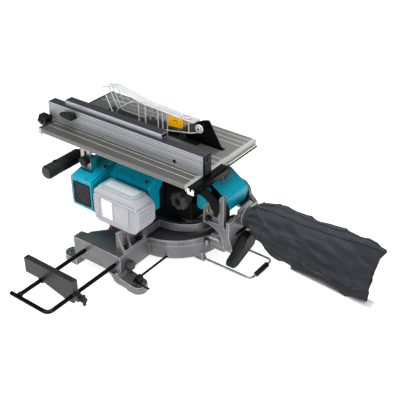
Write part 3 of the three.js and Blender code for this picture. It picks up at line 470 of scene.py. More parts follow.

# The edge numbers below set how bright the painted highlights on rounded edges are.
MATERIALS = {
    "casting": cast_paint("cast_silver_paint", rgb(118, 118, 119)),
    "dark_cast": coated("dark_powder_coat", rgb(18, 18, 20), 0.55, 0.0, specular=0.2),
    "black_plastic": moulded("black_nylon", rgb(26, 26, 28), 0.42, edge=2.6, specular=0.3),
    "teal_plastic": moulded("teal_nylon", rgb(0, 150, 172), 0.3, edge=1.45),
    "pale_grey_plastic": moulded("pale_grey_shell", rgb(170, 172, 176), 0.34, edge=1.7),
    "aluminium": table_top(),
    # Fence: painted dark reflection on its top faces and painted shade in its grooves.
    "fence_aluminium": brushed("fence_anodised", rgb(174, 177, 181), "y", 0.36, 0.6, 0.14,
                               1.15, rgb(72, 75, 80),
                               [(306.5, 0.8), (312.5, 0.8), (332.5, 0.6), (337.5, 0.8), (343.5, 0.8)]),
    "steel": brushed("ground_steel", rgb(140, 141, 142), "z", 0.3, 1.0, 0.08),
    "zinc_steel": bright_metal("zinc_plate", rgb(168, 170, 168), 0.3),
    "chrome": bright_metal("chrome_plate", rgb(140, 146, 154), 0.16),
    "clear_plastic": clear_plastic("clear_polycarbonate", WHITISH, 0.045),
    "bag_fabric": fabric("bag_nylon", rgb(40, 43, 47)),
    "white_strip": moulded("white_vinyl", rgb(200, 203, 203), 0.35, edge=1.15),
    "rubber": moulded("soft_rubber", rgb(32, 32, 34), 0.6, 900, 0.08, 1.8, specular=0.25),
    "black_rod": coated("black_rod_coat", rgb(18, 18, 20), 0.22, 0.4),
    "winding": bright_metal("copper_winding", rgb(178, 96, 52), 0.35, 400),
}
OTHER_MATERIALS = {
    "blade": brushed("blade_grey_coat", rgb(74, 75, 77), "z", 0.35, 0.6, 0.12, 2.2),
    "clear_rim": clear_plastic("clear_rim", CLEAR_EDGE, 0.8),
    "clear_strip": clear_plastic("clear_strip", CLEAR_ROOF, 0.62, 0.2),
    "rail": brushed("rail_pale_anodised", rgb(168, 170, 164), "x", 0.42, 0.35, 0.1, 1.3),
    "orange_label": label("orange_label", rgb(255, 186, 8), rgb(70, 50, 10), 260, 0.68),
    "red_mark": label("red_mark", rgb(226, 58, 44), rgb(250, 230, 225), 500, 0.7),
    "oval_mark": label("oval_mark", rgb(236, 140, 130), rgb(246, 240, 238), 420, 0.5),
    "white_label": label("white_label", rgb(232, 232, 236), rgb(222, 176, 180), 150, 0.6),
    "top_label": label("top_label", rgb(212, 214, 218), rgb(236, 214, 218), 120, 0.58),
    "teal_line": moulded("teal_line", rgb(96, 190, 205), 0.4, edge=1.1),
    "scale_plate": brushed("scale_plate", rgb(196, 198, 200), "x", 0.3, 0.8, 0.06, 1.1),
    # Black print ink, also used as painted shade inside holes, wells and slots.
    "ink": moulded("black_ink_and_hole_shade", rgb(26, 26, 28), 0.5),
    "brass": bright_metal("brass", rgb(206, 184, 132), 0.25),
    # Strong painted highlights on its edges.
    "gloss_black": coated("gloss_black", rgb(28, 28, 31), 0.2, 0.7, edge=4.5),
    "seam": moulded("seam_shadow", rgb(10, 22, 26), 0.7),
    "battery_seam": moulded("battery_seam", rgb(118, 121, 124), 0.6),
    "paddle_grey": coated("paddle_grey", rgb(52, 50, 50), 0.36, 0.3, edge=2.6),
    "grip_rubber": moulded("grip_rubber", rgb(52, 52, 54), 0.5, 900, 0.08, 1.6, specular=0.4),
    # A lit grey for the black plastic slats: painted light.
    "slat_painted_light": moulded("slat_painted_light", rgb(92, 95, 98), 0.4, edge=1.6),
    "knob_grey": moulded("knob_grey", rgb(58, 58, 60), 0.42, edge=2.2),
    "white_cap": moulded("white_cap", rgb(238, 239, 238), 0.35, edge=1.1),
    "thread": moulded("seam_thread", rgb(24, 26, 29), 0.8, 3000, 0.1, 1.2),
}


# ---------- CAD nodes that are shown
BEVEL_ANGLE, FLAT_ANGLE = 32, 0.5


def dress(thing, bevel_mm, segments=2):
    """Rounds a piece's edges with modifiers, and shades it smooth between them."""
    thing.data.shade_smooth()
    weld = thing.modifiers.new("weld", "WELD")
    weld.merge_threshold = 2e-6
    flat = thing.modifiers.new("flat", "DECIMATE")
    flat.decimate_type = "DISSOLVE"
    flat.angle_limit = math.radians(FLAT_ANGLE)
    edge = thing.modifiers.new("edge", "BEVEL")
    edge.limit_method = "ANGLE"
    edge.angle_limit = math.radians(BEVEL_ANGLE)
    edge.width = bevel_mm * MM
    edge.segments = segments
    edge.use_clamp_overlap = True
    edge.harden_normals = False
    normals = thing.modifiers.new("normals", "WEIGHTED_NORMAL")
    normals.mode = "FACE_AREA_WITH_ANGLE"
    normals.keep_sharp = True


def paint(thing, material):
    thing.data.materials.clear()
    thing.data.materials.append(material)


SMALL_BEVEL = 0.6
BEVELS = {"motor_housing": 1.6, "pivot_cover": 0.8, "bevel_lever": 2.2, "base_casting": 1.5,
          "turntable": 1.2, "saw_table": 1.0, "star_knob": 1.2, "head_casting": 1.0, "handle_bar": 1.4,
          "mitre_grip": 1.4, "rip_fence": 0.35, "sub_fence": 0.4, "blade": 0.25,
          "fence_carrier": 1.0, "holder_lock_knob": 1.0, "fence_lock_knob": 1.2, "bevel_arm": 0.9}
slot_of = {row["node"]: row["material_slot"] for row in frame["record"]["subparts"]}
own_material = {"blade": "blade", "rear_rail": "rail", "fence_carrier": "gloss_black",
                "rear_bracket": "gloss_black", "star_knob": "knob_grey",
                "holder_lock_knob": "knob_grey", "stop_plate": "paddle_grey",
                "handle_bar": "grip_rubber"}
for name, node_object in nodes.items():
    dress(node_object, BEVELS.get(name, SMALL_BEVEL))
    if name in own_material:
        paint(node_object, OTHER_MATERIALS[own_material[name]])
    else:
        paint(node_object, MATERIALS[slot_of[name]])


# ---------- shapes made here
AXES = {"x": lambda u, v, t: (t, u, v), "y": lambda u, v, t: (u, t, v), "z": lambda u, v, t: (u, v, t)}


def turns(count):
    """Equal steps once round, in radians."""
    return [2 * math.pi * i / count for i in range(count)]


def circle(cu, cv, radius, sides):
    return [(cu + radius * math.cos(a), cv + radius * math.sin(a)) for a in turns(sides)]


def arc(cu, cv, radius, from_deg, to_deg, steps):
    angles = [math.radians(from_deg + (to_deg - from_deg) * i / steps) for i in range(steps + 1)]
    return [(cu + radius * math.cos(a), cv + radius * math.sin(a)) for a in angles]


def rounded(corners, radius, steps=6):
    """A path with its inner corners rounded."""
    path = [Vector(corners[0])]
    for before, corner, after in zip(corners, corners[1:], corners[2:]):
        before, corner, after = Vector(before), Vector(corner), Vector(after)
        start = corner + (before - corner).normalized() * radius
        end = corner + (after - corner).normalized() * radius
        for i in range(steps + 1):
            t = i / steps
            path.append(start.lerp(corner, t).lerp(corner.lerp(end, t), t))
    path.append(Vector(corners[-1]))
    return path


def rounded_outline(corners, radius, steps=4):
    """A closed 2-D outline with every corner rounded."""
    outline = []
    count = len(corners)
    for i, corner in enumerate(corners):
        before, after = Vector(corners[i - 1]), Vector(corners[(i + 1) % count])
        corner = Vector(corner)
        reach = min(radius, (before - corner).length * 0.45, (after - corner).length * 0.45)
        start = corner + (before - corner).normalized() * reach
        end = corner + (after - corner).normalized() * reach
        for k in range(steps + 1):
            t = k / steps
            point = start.lerp(corner, t).lerp(corner.lerp(end, t), t)
            outline.append((point.x, point.y))
    return outline


class Shape:
    """Points in millimetres and faces, gathered from simple sweeps, that become one piece."""

    def __init__(self):
        self.points, self.faces = [], []

    def add(self, points, faces):
        base = len(self.points)
        self.points += [tuple(point) for point in points]
        self.faces += [tuple(base + i for i in face) for face in faces]
        return self

    def rings(self, rings, closed=False, caps=True):
        count, steps = len(rings[0]), len(rings) - (0 if closed else 1)
        faces = []
        for a in range(steps):
            b = (a + 1) % len(rings)
            for i in range(count):
                j = (i + 1) % count
                faces.append((a * count + i, a * count + j, b * count + j, b * count + i))
        if caps and not closed:
            faces.append(tuple(reversed(range(count))))
            faces.append(tuple(range((len(rings) - 1) * count, len(rings) * count)))
        return self.add([point for ring in rings for point in ring], faces)

    def prism(self, axis, outline, low, high):
        return self.rings([[AXES[axis](u, v, t) for u, v in outline] for t in (low, high)])

    def frame(self, axis, loops):
        """A closed frame swept through flat loops, each one held as (loop, place along the axis)."""
        return self.rings([[AXES[axis](u, v, t) for u, v in line] for line, t in loops], closed=True)

    def box(self, x0, x1, y0, y1, z0, z1):
        return self.prism("z", [(x0, y0), (x1, y0), (x1, y1), (x0, y1)], z0, z1)

    def turned(self, axis, centre, profile, sides=32, closed=False):
        """profile holds (radius, place along the axis)."""
        rings = [[AXES[axis](u, v, t) for u, v in circle(*centre, radius, sides)]
                 for radius, t in profile]
        return self.rings(rings, closed, not closed)

    def tube(self, path, radius, sides=16):
        path = [Vector(point) for point in path]
        normal, rings = None, []
        for i, here in enumerate(path):
            before = path[max(i - 1, 0)]
            after = path[min(i + 1, len(path) - 1)]
            heading = (after - before).normalized()
            if normal is None:
                normal = heading.orthogonal().normalized()
            normal = (normal - heading * normal.dot(heading)).normalized()
            across = heading.cross(normal)
            rings.append([here + (normal * math.cos(a) + across * math.sin(a)) * radius
                          for a in turns(sides)])
        return self.rings(rings)

    def make(self, name, body, slot=None, material=None, bevel=0.0, segments=2, crease=40):
        """Turns the shape into a piece that rides on a body, and gives it the named material, or else the one
        for its slot.
        """
        mesh = bpy.data.meshes.new(name)
        mesh.from_pydata([place(*point) for point in self.points], [], self.faces)
        data = bmesh.new()
        data.from_mesh(mesh)
        bmesh.ops.remove_doubles(data, verts=data.verts, dist=1e-6)
        bmesh.ops.recalc_face_normals(data, faces=data.faces)
        data.to_mesh(mesh)
        data.free()
        piece = add_object(name, mesh)
        mesh.shade_smooth()
        if bevel:
            dress(piece, bevel, segments)
        else:
            mesh.set_sharp_from_angle(angle=math.radians(crease))
        mesh.materials.append(OTHER_MATERIALS[material] if material else MATERIALS[slot])
        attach(piece, body)
        return piece


# ---------- rods and wires
def holder_rods():
    shape = Shape()
    loop = rounded([(150, 4, 52), (453, 4, 52), (453, -113, 52)], 16, 8)
    shape.tube(loop, 5, 24)
    shape.tube([(192, -93, 52), (446, -93, 52)], 5, 24)
    shape.turned("x", (-93, 52), [(5.6, 441), (6.6, 443), (6.8, 446), (5.6, 449)], 24)
    piece = shape.make("holder_rods", "side_holder", "black_rod", "gloss_black")
    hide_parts("holder_wire")


def rear_wire():
    path = rounded([(50, 104, 12), (50, 262, 12), (-44, 262, 12), (-44, 104, 12)], 14, 8)
    piece = Shape().tube(path, 3, 20).make("rear_support_wire", "base", "chrome")
    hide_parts("rear_wire")
    profile = [(3.4, -22), (5.6, -22), (6.4, -21)]
    for i in range(11):
        at = -18 + i * 4.1
        profile += [(6.5, at - 1.2), (5.8, at - 0.5), (5.8, at + 0.5), (6.5, at + 1.2)]
    profile += [(6.4, 27), (5.6, 28), (3.4, 28)]
    grip = Shape().turned("x", (262, 12), profile, 28, closed=True)
    grip = grip.make("rear_wire_sleeve", "base", "rubber", crease=60)
    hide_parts("rear_wire_grip")


def torsion_spring():
    coils, wire = 3.0, 0.85
    path = [(58.2, 141.0, 186.5), (58.2, 144.5, 181.0)]
    for i in range(97):
        angle = math.radians(130) + 2 * math.pi * coils * i / 96
        path.append((58.2 + 2.6 * i / 96, 153 + 12.6 * math.cos(angle), 168 + 12.6 * math.sin(angle)))
    path += [(60.8, 139.5, 176.0), (60.8, 140.5, 150.0)]
    piece = Shape().tube(path, wire, 12).make("head_return_spring", "bevel_arm", "zinc_steel", "brass")
    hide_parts("pivot_spring")


def vent_slats():
    shape = Shape()
    outer = rounded_outline([(-150.7, 151.3), (-98.3, 151.3), (-98.3, 210.7), (-150.7, 210.7)], 6)
    inner = rounded_outline([(-146.2, 155.4), (-102.8, 155.4), (-102.8, 206.6), (-146.2, 206.6)], 4)
    shape.frame("x", [(outer, 196.5), (outer, 202.2), (inner, 202.2), (inner, 196.5)])
    shape.box(196.6, 197.6, -148, -101, 154, 208)
    piece = shape.make("vent_frame", "head", "black_plastic", bevel=0.25)
    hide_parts("vent_grille")
    slats = Shape()
    for row in range(9):
        z = 158.2 + row * 5.6
        slat = [(198.0, z - 2.0), (200.9, z - 0.7), (201.4, z + 0.9), (198.4, z + 0.4)]
        slats.prism("y", slat, -147, -102)
    # The black plastic slats are drawn in grey, as painted light.
    slats.make("vent_slats", "head", "black_plastic", "slat_painted_light", bevel=0.25)


# ---------- dust bag
BAG_LENGTHS = [214, 217, 220, 227, 236, 248, 262, 280, 310, 350, 400, 450, 500, 540, 558, 563]
BAG_TOPS = [161, 165, 168, 173, 182, 189, 192, 194, 195, 196, 198, 200, 200, 200, 198, 194]
BAG_BOTTOMS = [119, 118, 118, 117, 113, 107, 97, 81, 66, 61.5, 58, 54.5, 50, 47, 46.5, 48]
BAG_WIDTHS = [21, 24, 24, 25, 28, 32, 36, 38.5, 39, 38, 35, 32, 27, 18, 8, 4]


BAG_X = -8
CUFF_Z = 139
END_SLANT = 30


def along(row, place_at):
    """A value part way along a row, with soft steps in the bag's full middle."""
    place_at = min(max(place_at, 0.0), len(row) - 1.000001)
    index = int(place_at)
    share = place_at - index
    share = share * share * (3 - 2 * share) if 3 < index < 12 else share
    return row[index] + (row[index + 1] - row[index]) * share


def bag_point(t, angle):
    """A point on the bag at length t and angle round it (0 is the top), with its folds."""
    at = t * (len(BAG_LENGTHS) - 1)
    y, top, bottom, width = (along(row, at) for row in (BAG_LENGTHS, BAG_TOPS, BAG_BOTTOMS, BAG_WIDTHS))
    side, rise = math.sin(angle), math.cos(angle)
    square = 0.82 if 4 < at < 13 else 1.0
    side = math.copysign(abs(side) ** square, side)
    top += 5 * math.exp(-((y - 290) / 50) ** 2) + 3 * math.exp(-((y - 500) / 60) ** 2)
    x = BAG_X + 10 * t + width * side
    z = (top + bottom) / 2 + (top - bottom) / 2 * rise
    y -= END_SLANT * max(0.0, (t - 0.55) / 0.45) ** 1.5 * (1 - rise) / 2
    y -= 15 * max(0.0, (t - 0.78) / 0.22) ** 2 * (1 - rise * rise)
    # The cuff gathers the cloth in pleats that fade out along the bag.
    gather = math.exp(-((y - 232) / 13) ** 2) * 1.8 + math.exp(-((y - 262) / 26) ** 2) * 1.1
    fold = gather * math.sin(15 * angle + 1.3 * math.sin(3 * angle) + 0.03 * (y - 226))
    # Long soft creases run back from the neck, and shallow dents sit between them.
    creases = noise.noise(Vector((x * 0.02 + 4, y * 0.009, z * 0.045)))
    dents = noise.noise(Vector((x * 0.05, y * 0.03 + z * 0.03, z * 0.05 + 9)))
    ridge = 1 - abs(noise.noise(Vector((x * 0.012 + 2, (y + 1.4 * z) * 0.016, z * 0.02 + 5)))) * 2
    body = min(1.0, max(0.0, (y - 222) / 30)) * min(1.0, max(0.0, (560 - y) / 25))
    fold += body * (8.0 * creases + 5.0 * dents + 5.5 * (ridge ** 6) - 1.0)
    reach = Vector((side, 0.0, rise)).normalized()
    return x + reach.x * fold, y, z + reach.z * fold * 0.75


def dust_bag():
    rows, columns = 150, 120
    rings = [[bag_point(i / rows, angle) for angle in turns(columns)] for i in range(rows + 1)]
    shape = Shape()
    shape.rings(rings, caps=False)
    # The far end is closed from side to side. Its first and last faces have only three corners.
    end = rows * columns
    for k in range(columns // 2):
        corners = (k, k + 1, columns - k - 1, (columns - k) % columns)
        shape.faces.append(tuple(end + i for i in dict.fromkeys(corners)))
    bag = shape.make("dust_bag_cloth", "bevel_arm", "bag_fabric", crease=80)
    thick = bag.modifiers.new("cloth", "SOLIDIFY")
    thick.thickness = 0.9 * MM
    thick.offset = -1.0
    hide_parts("dust_bag")
    return bag


def bag_cuff():
    """The elastic cuff: a rolled hem that grips the nozzle, gathered in small pleats."""
    front, length, bands = 213.5, 12, 8

    def hem(y, radius, swell):
        ring = []
        for angle in turns(160):
            reach = radius + (1.5 + 0.55 * math.sin(30 * angle)) * swell
            ring.append((BAG_X + reach * math.sin(angle), y, CUFF_Z + reach * math.cos(angle)))
        return ring

    outer = [hem(front + length * i / bands, 24.8, math.sin(math.pi * i / bands)) for i in range(bands + 1)]
    inner = [hem(front + length, 23.4, 0), hem(front, 23.4, 0)]
    return Shape().rings(outer + inner, closed=True).make("bag_cuff", "bevel_arm", "bag_fabric", crease=80)


SEAM_START, SEAM_END, SEAM_STEPS, SEAM_LIFT = 0.2, 0.985, 90, 0.3


def seam_path(angle):
    """A line along the bag at one angle round it, just above the cloth."""
    away = Vector((math.sin(angle), 0, math.cos(angle)))
    path = []
    for i in range(SEAM_STEPS + 1):
        t = SEAM_START + (SEAM_END - SEAM_START) * i / SEAM_STEPS
        path.append(Vector(bag_point(t, angle)) + away * SEAM_LIFT)
    return path


def bag_trim():
    """Three piped seams: one along the top and one on each side of it."""
    pieces = []
    for name, angle in (("bag_seam_top", 0.0), ("bag_seam_right", 0.13 * math.pi),
                        ("bag_seam_left", -0.13 * math.pi)):
        pieces.append(Shape().tube(seam_path(angle), 1.0, 8).make(
            name, "bevel_arm", "bag_fabric", "thread"))
    return pieces


STRIP_DROP = 3.5


def bag_zip():
    """The closing strip along the underside: a folded white edge with a slide-on clip profile."""
    line = [(343, 57.4), (350, 56.4), (400, 53), (450, 49.4), (500, 45.6), (530, 43.0),
            (548, 42.6)]
    rings = []
    for i in range(61):
        at = i / 60 * (len(line) - 1)
        index = min(int(at), len(line) - 2)
        y, z = Vector(line[index]).lerp(Vector(line[index + 1]), at - index)
        half = 13.2 if i < 58 else 12.0
        outline = rounded_outline([(-half, 0), (half, 0), (half, 4.2), (4.5, 5.4), (-4.5, 5.4),
                                   (-half, 4.2)], 1.2, 3)
        rings.append([(u, y, z + v - STRIP_DROP) for u, v in outline])
    strip = Shape().rings(rings).make("bag_closing_strip", "bevel_arm", "white_strip", crease=50)
    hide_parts("bag_closure_strip")
    return strip


def make_bag():
    bag = dust_bag()
    trim = [bag_cuff(), *bag_trim(), bag_zip()]


# ---------- clear guard
GUARD_PIVOT = (85, 342)


def guard_trim():
    """The thick rims of the two clear walls, and the ribs inside them."""
    low = [(-213, 364), (-182, 302), (-45, 302), (60, 323), (80, 331)]
    high = [(-213, 364), (-209.5, 369.5), (-182, 376.4), (-140, 369.4), (-90, 358.4), (36, 352.4),
            (70, 352.4)]
    shape = Shape()
    for x in (-15.6, 15.6):
        shape.tube(rounded([(x, y, z) for y, z in low], 4), 1.3, 8)
        shape.tube(rounded([(x, y, z) for y, z in high], 4), 1.0, 8)
    shape.tube([(-15.6, -213, 364), (15.6, -213, 364)], 1.3, 8)
    curve = [(-176, 304), (-168, 317), (-153, 330), (-136, 342), (-118, 351), (-100, 356.5)]
    for side in (-1, 1):
        x0, x1 = sorted((side * 11.6, side * 13.9))
        for (y0, z0), (y1, z1) in zip(curve, curve[1:]):
            shape.prism("x", [(y0, z0), (y1, z1), (y1, z1 + 2.4), (y0, z0 + 2.4)], x0, x1)
        for y, low_z, high_z in ((-100, 303, 357), (-79, 303, 355), (-40, 303, 353.5),
                                 (-26, 306, 352.8), (-12, 309, 352), (52, 322, 350)):
            shape.box(x0, x1, y - 1.1, y + 1.1, low_z, high_z)
        for (y0, z0), (y1, z1) in (((-196, 370), (-166, 318)), ((-186, 337), (-150, 340)),
                                   ((-206, 352), (-178, 374))):
            shape.prism("x", [(y0, z0), (y1, z1), (y1 + 1, z1 + 0.9), (y0 + 1, z0 + 0.9)], x0, x1)
    shape.make("guard_ribs", "blade_guard", "clear_plastic", "clear_rim")


def guard_top():
    """Thick moulded roof of the guard, which reads whiter than its walls."""
    line = [(-209, 369.2), (-182, 376.0), (-140, 369.0), (-90, 358.0), (36, 352.0), (66, 352.0)]
    rings = []
    for bend in rounded([(y, z, 0) for y, z in line], 8, 5):
        outline = rounded_outline([(-13.6, -3.4), (13.6, -3.4), (13.6, -2.6), (-13.6, -2.6)], 0.3, 2)
        rings.append([(u, bend.x, bend.y + v) for u, v in outline])
    Shape().rings(rings).make("guard_roof", "blade_guard", "clear_plastic", "clear_strip", crease=50)


def guard_pivot():
    shape = Shape()
    for side in (-1, 1):
        shape.turned("x", GUARD_PIVOT, [(10.6, side * 15.8), (10.6, side * 17.8), (9.6, side * 18.4),
                                        (7.9, side * 18.4), (7.9, side * 15.8)], 36, closed=True)
        shape.turned("x", GUARD_PIVOT, [(6.6, side * 19.4), (6.6, side * 20.6), (5.2, side * 21.2),
                                        (3.6, side * 21.2), (3.6, side * 19.4)], 28, closed=True)
    shape.make("guard_pivot_rings", "blade_guard", "clear_plastic", "clear_rim")
    pins = Shape()
    for side in (-1, 1):
        pins.turned("x", GUARD_PIVOT, [(3.3, side * 19.5), (3.3, side * 20.6), (2.5, side * 21.0),
                                       (0.01, side * 21.0)], 20)
    pins.make("guard_pivot_caps", "blade_guard", "steel", "knob_grey")


def guard_labels():
    """An orange sticker with an arrow on one wall, and an oval mark on the roof."""
    outline = rounded_outline([(-7, 322.5), (37, 328.5), (37, 350.0), (-7, 351.2)], 1.2, 3)
    Shape().prism("x", outline, 16.02, 16.35).make("guard_sticker", "blade_guard", None, "orange_label")
    arrow = Shape()
    upper, lower = (arc(15, 334, radius, 30, 150, 14) for radius in (9.5, 8.17))
    for a, b, lower_a, lower_b in zip(upper, upper[1:], lower, lower[1:]):
        arrow.prism("x", [a, b, lower_b, lower_a], 16.3, 16.5)
    for y in (-1, 31):
        arrow.prism("x", [(y - 1, 331), (y + 1, 331), (y + 1, 332), (y - 1, 332)], 16.3, 16.5)
    arrow.make("guard_sticker_arrow", "blade_guard", None, "ink")
    ring = Shape()
    outer = [(15.5 * math.cos(a) * 0.62, 35 + 15.5 * math.sin(a) * 0.86) for a in turns(40)]
    inner = [(u * 0.74, 35 + (v - 35) * 0.74) for u, v in outer]
    ring.frame("z", [(outer, 352.8), (outer, 353.15), (inner, 353.15), (inner, 352.8)])
    ring.make("guard_oval_mark", "blade_guard", None, "oval_mark")


# ---------- star knob and battery
KNOB_Y, KNOB_Z = 83, 186


def star_knob():
    """Eight-lobed clamp knob with a deep round socket and a ring round it."""
    def loop(x, radius, wave=0.0):
        points = []
        for turn in turns(96):
            reach = radius + wave * math.cos(8 * turn)
            points.append((x, KNOB_Y + reach * math.cos(turn), KNOB_Z + reach * math.sin(turn)))
        return points

    loops = [loop(64.5, 17.5), loop(78, 19.2), loop(79, 21.0, 1.0), loop(81, 22.0, 2.0), loop(97, 21.4, 2.0),
             loop(99.5, 19.2, 1.4), loop(99.6, 13.4), loop(101.2, 12.6), loop(101.2, 10.4), loop(99.8, 9.2),
             loop(84, 8.6), loop(84, 0.6)]
    piece = Shape().rings(loops).make("star_knob_visual", "head", "black_plastic", "knob_grey", crease=40)
    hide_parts("star_knob")


def battery():
    """Pale battery: a wide body, a stepped cap above it, and a panel frame on the top."""
    body_line = [(-82, 146), (-82, 203), (50, 203), (56, 196), (56, 156), (44, 136), (22, 132.5),
                 (-70, 132.5)]
    cap_line = [(-80, 201), (-80, 212), (-73, 220.5), (29, 218.5), (53, 203)]
    shell = Shape().prism("x", rounded_outline(body_line, 5, 4), 147.8, 206)
    shell.prism("x", rounded_outline(cap_line, 4, 4), 150, 204)
    shell.prism("x", rounded_outline([(-78, 152), (-78, 160), (40, 160), (40, 152)], 1.5, 3), 142.8, 148)
    shell.prism("x", rounded_outline([(-78, 173), (-78, 191), (40, 191), (40, 173)], 1.5, 3), 147.9, 150)
    piece = shell.make("battery_shell", "battery", "pale_grey_plastic", bevel=1.6, segments=3)
    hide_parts("battery_pack")
    trim = Shape()
    frame_line = rounded_outline([(154, -74), (198, -74), (198, 28), (176, 34), (154, 34)], 7, 6)
    frame_in = rounded_outline([(158, -68), (188, -68), (188, 26), (176, 29), (158, 29)], 5, 6)
    trim.frame("z", [(frame_line, 217), (frame_line, 221.6), (frame_in, 222.8), (frame_in, 217)])
    for y in (-66, -60, 30, 36, 42):
        trim.box(205.6, 207.0, y - 1.0, y + 1.0, 146, 198)
    trim.box(204, 207.6, -79, 50, 200.4, 203.4)
    trim.box(205.6, 207.6, -78, 38, 139.0, 142.4)
    trim.box(205.4, 206.9, -20, 26, 150, 196)
    for z in (166, 174, 182, 190):
        trim.box(160, 200, 55.4, 57.2, z - 1.4, z + 1.4)
    trim.box(152, 202, 53, 56.8, 197.5, 200.5)
    trim.make("battery_trim", "battery", "pale_grey_plastic", bevel=0.5)
    gaps = Shape()
    gaps.box(204.5, 206.2, -81, 53, 199.2, 200.2)
    gaps.box(205.0, 206.4, -21.4, -20.2, 149, 197)
    gaps.box(205.0, 206.4, 26.2, 27.4, 149, 197)
    gaps.make("battery_seams", "battery", None, "battery_seam")
    line = Shape()
    panel = rounded_outline([(160.5, -65.5), (185.5, -65.5), (185.5, 24), (175, 26.5), (160.5, 26.5)], 4.5, 6)
    line.frame("z", [(frame_in, 219.5), (frame_in, 222.0), (panel, 222.0), (panel, 219.5)])
    line.make("battery_teal_line", "battery", None, "teal_line")
    Shape().prism("z", panel, 219.4, 221.4).make("battery_top_label", "battery", None, "top_label")
    patch = rounded_outline([(-57, 148), (-24, 148), (-24, 198), (-57, 198)], 1.5, 3)
    Shape().prism("x", patch, 205.8, 206.75).make("battery_side_label", "battery", None, "white_label")


# ---------- saw head
def screw(shape, axis, centre, top, radius=3.2, side=1):
    """A socket-head screw: a low domed head with a hexagonal recess."""
    shape.turned(axis, centre, [(radius, top - side * 2.5), (radius, top - side * 0.5),
                                (radius - 0.5, top), (radius * 0.52, top)], 20)
    shape.turned(axis, centre, [(radius * 0.5, top + side * 0.03), (radius * 0.5, top - side * 1.4)], 6)


def housing_details():
    seams = Shape()
    ring = [(58.8, 139.6), (58.8, 244.4), (110, 240.4), (150, 233.4), (200.4, 222.4), (200.4, 144),
            (194, 138.6), (64, 138.6)]
    thin = [(u + (0.9 if u < 129 else -0.9), v + (0.9 if v < 190 else -0.9)) for u, v in ring]
    seams.frame("y", [(ring, -92.2), (ring, -90.8), (thin, -90.8), (thin, -92.2)])
    seams.make("housing_seam", "head", "black_plastic", "seam")
    # The screw wells are black inside: painted shade in the recesses.
    wells = Shape()
    for x, y, z in ((138, -101, 236.2), (125.2, 15.7, 230.7)):
        wells.turned("z", (x, y), [(5.2, z - 5), (5.2, z + 0.5), (4.6, z + 1.0), (3.8, z + 0.9),
                                   (3.8, z - 3.0), (0.01, z - 3.0)], 24)
    wells.make("housing_screw_wells", "head", "black_plastic", "ink")
    lip = Shape()
    lip.prism("y", rounded_outline([(128, 228.0), (138.4, 222.0), (138.4, 226.0), (128, 231.0)], 1), -66, -24)
    lip.make("battery_bay_lip", "head", "teal_plastic", bevel=0.8)
    flank = Shape()
    flank.prism("x", rounded_outline([(104, 160), (104, 193), (121, 215), (137, 215), (141, 190), (134, 164),
                                      (112, 152)], 5), 38, 51.9)
    flank.make("pivot_side_cover", "head", "teal_plastic", bevel=0.8)
    heads = Shape()
    for y, z in ((-112, 226), (-142, 214), (-100, 147), (-150, 147)):
        screw(heads, "x", (y, z), 201.6 if z > 200 else 200.8, 2.8)
    heads.make("housing_screws", "head", "steel")


HANDLE_AXIS = (-233, 205)


def grip_rings():
    """Moulded rings at both ends of the handle's rubber grip, and its end cap."""
    shape = Shape()
    for x in (102, 105, 108, 188, 191, 194, 197, 200):
        ring = [(17.3, x - 0.9), (17.8, x - 0.3), (17.8, x + 0.3), (17.3, x + 0.9)]
        shape.turned("x", HANDLE_AXIS, ring, 40)
    shape.turned("x", HANDLE_AXIS, [(17.0, 203), (18.0, 204.5), (17.6, 206.5), (15.0, 210)], 40)
    shape.make("handle_grip_ridges", "head", "rubber")


# ---------- table and fence
def slot_shade_strips():
    """Black strips under the blade slot and a block at its rear end: painted shade that hides the floor seen
    through the slot.
    """
    shape = Shape()
    for side in (-1, 1):
        x0, x1 = sorted((side * 1.9, side * 6.8))
        shape.box(x0, x1, -199, 143.6, 289, 295)
    shape.box(-6.8, 6.8, 139.6, 143.6, 289, 295)
    shape.make("blade_slot_shade_strips", "saw_table", "black_plastic", bevel=0.4)


def rail_details():
    lip = Shape()
    lip.box(-87.5, 56, 175.2, 178.6, 280.8, 283.4)
    lip.make("rear_rail_lip", "saw_table", "black_plastic", bevel=0.5)
    bolts = Shape()
    for x in (-70, 40, 150):
        screw(bolts, "y", (x, 292), 175.3, 2.6)
    bolts.make("rail_screws", "saw_table", "steel")


def fence_details():
    cap = Shape()
    cap.prism("x", [(175.6, 284.2), (192.5, 284.2), (192.5, 297.5), (187.0, 297.5), (187.0, 291.5),
                    (181.0, 291.5), (181.0, 297.5), (175.6, 297.5)], 180.1, 181.6)
    cap.make("carrier_end_cap", "fence", None, "white_cap", bevel=0.3)
    shape = Shape()
    shape.turned("y", (115, 338), [(5.2, 182.0), (5.2, 183.4), (4.4, 184.0), (2.7, 184.0)], 24)
    shape.turned("y", (115, 338), [(2.6, 184.1), (2.6, 182.6)], 6)
    shape.prism("y", rounded_outline([(105, 304), (125, 304), (125, 328), (105, 328)], 2), 182.0, 182.7)
    shape.make("fence_end_screw", "fence", "black_plastic", bevel=0.3)
    # Black rings and a disc on the holes: painted shade inside them.
    dark = Shape()
    for x, y in ((115, 90.4), (112, 164.8)):
        dark.turned("z", (x, y), [(3.6, 347.6), (3.6, 348.08), (2.9, 348.12), (2.9, 347.6)], 20, closed=True)
    dark.turned("x", (99.2, 312.6), [(4.4, 126.6), (4.4, 127.3), (3.4, 127.4), (3.4, 126.6)], 20, closed=True)
    dark.turned("x", (99.2, 312.6), [(3.4, 127.06), (0.01, 127.06)], 20)
    dark.make("fence_holes", "fence", "black_plastic", "ink")


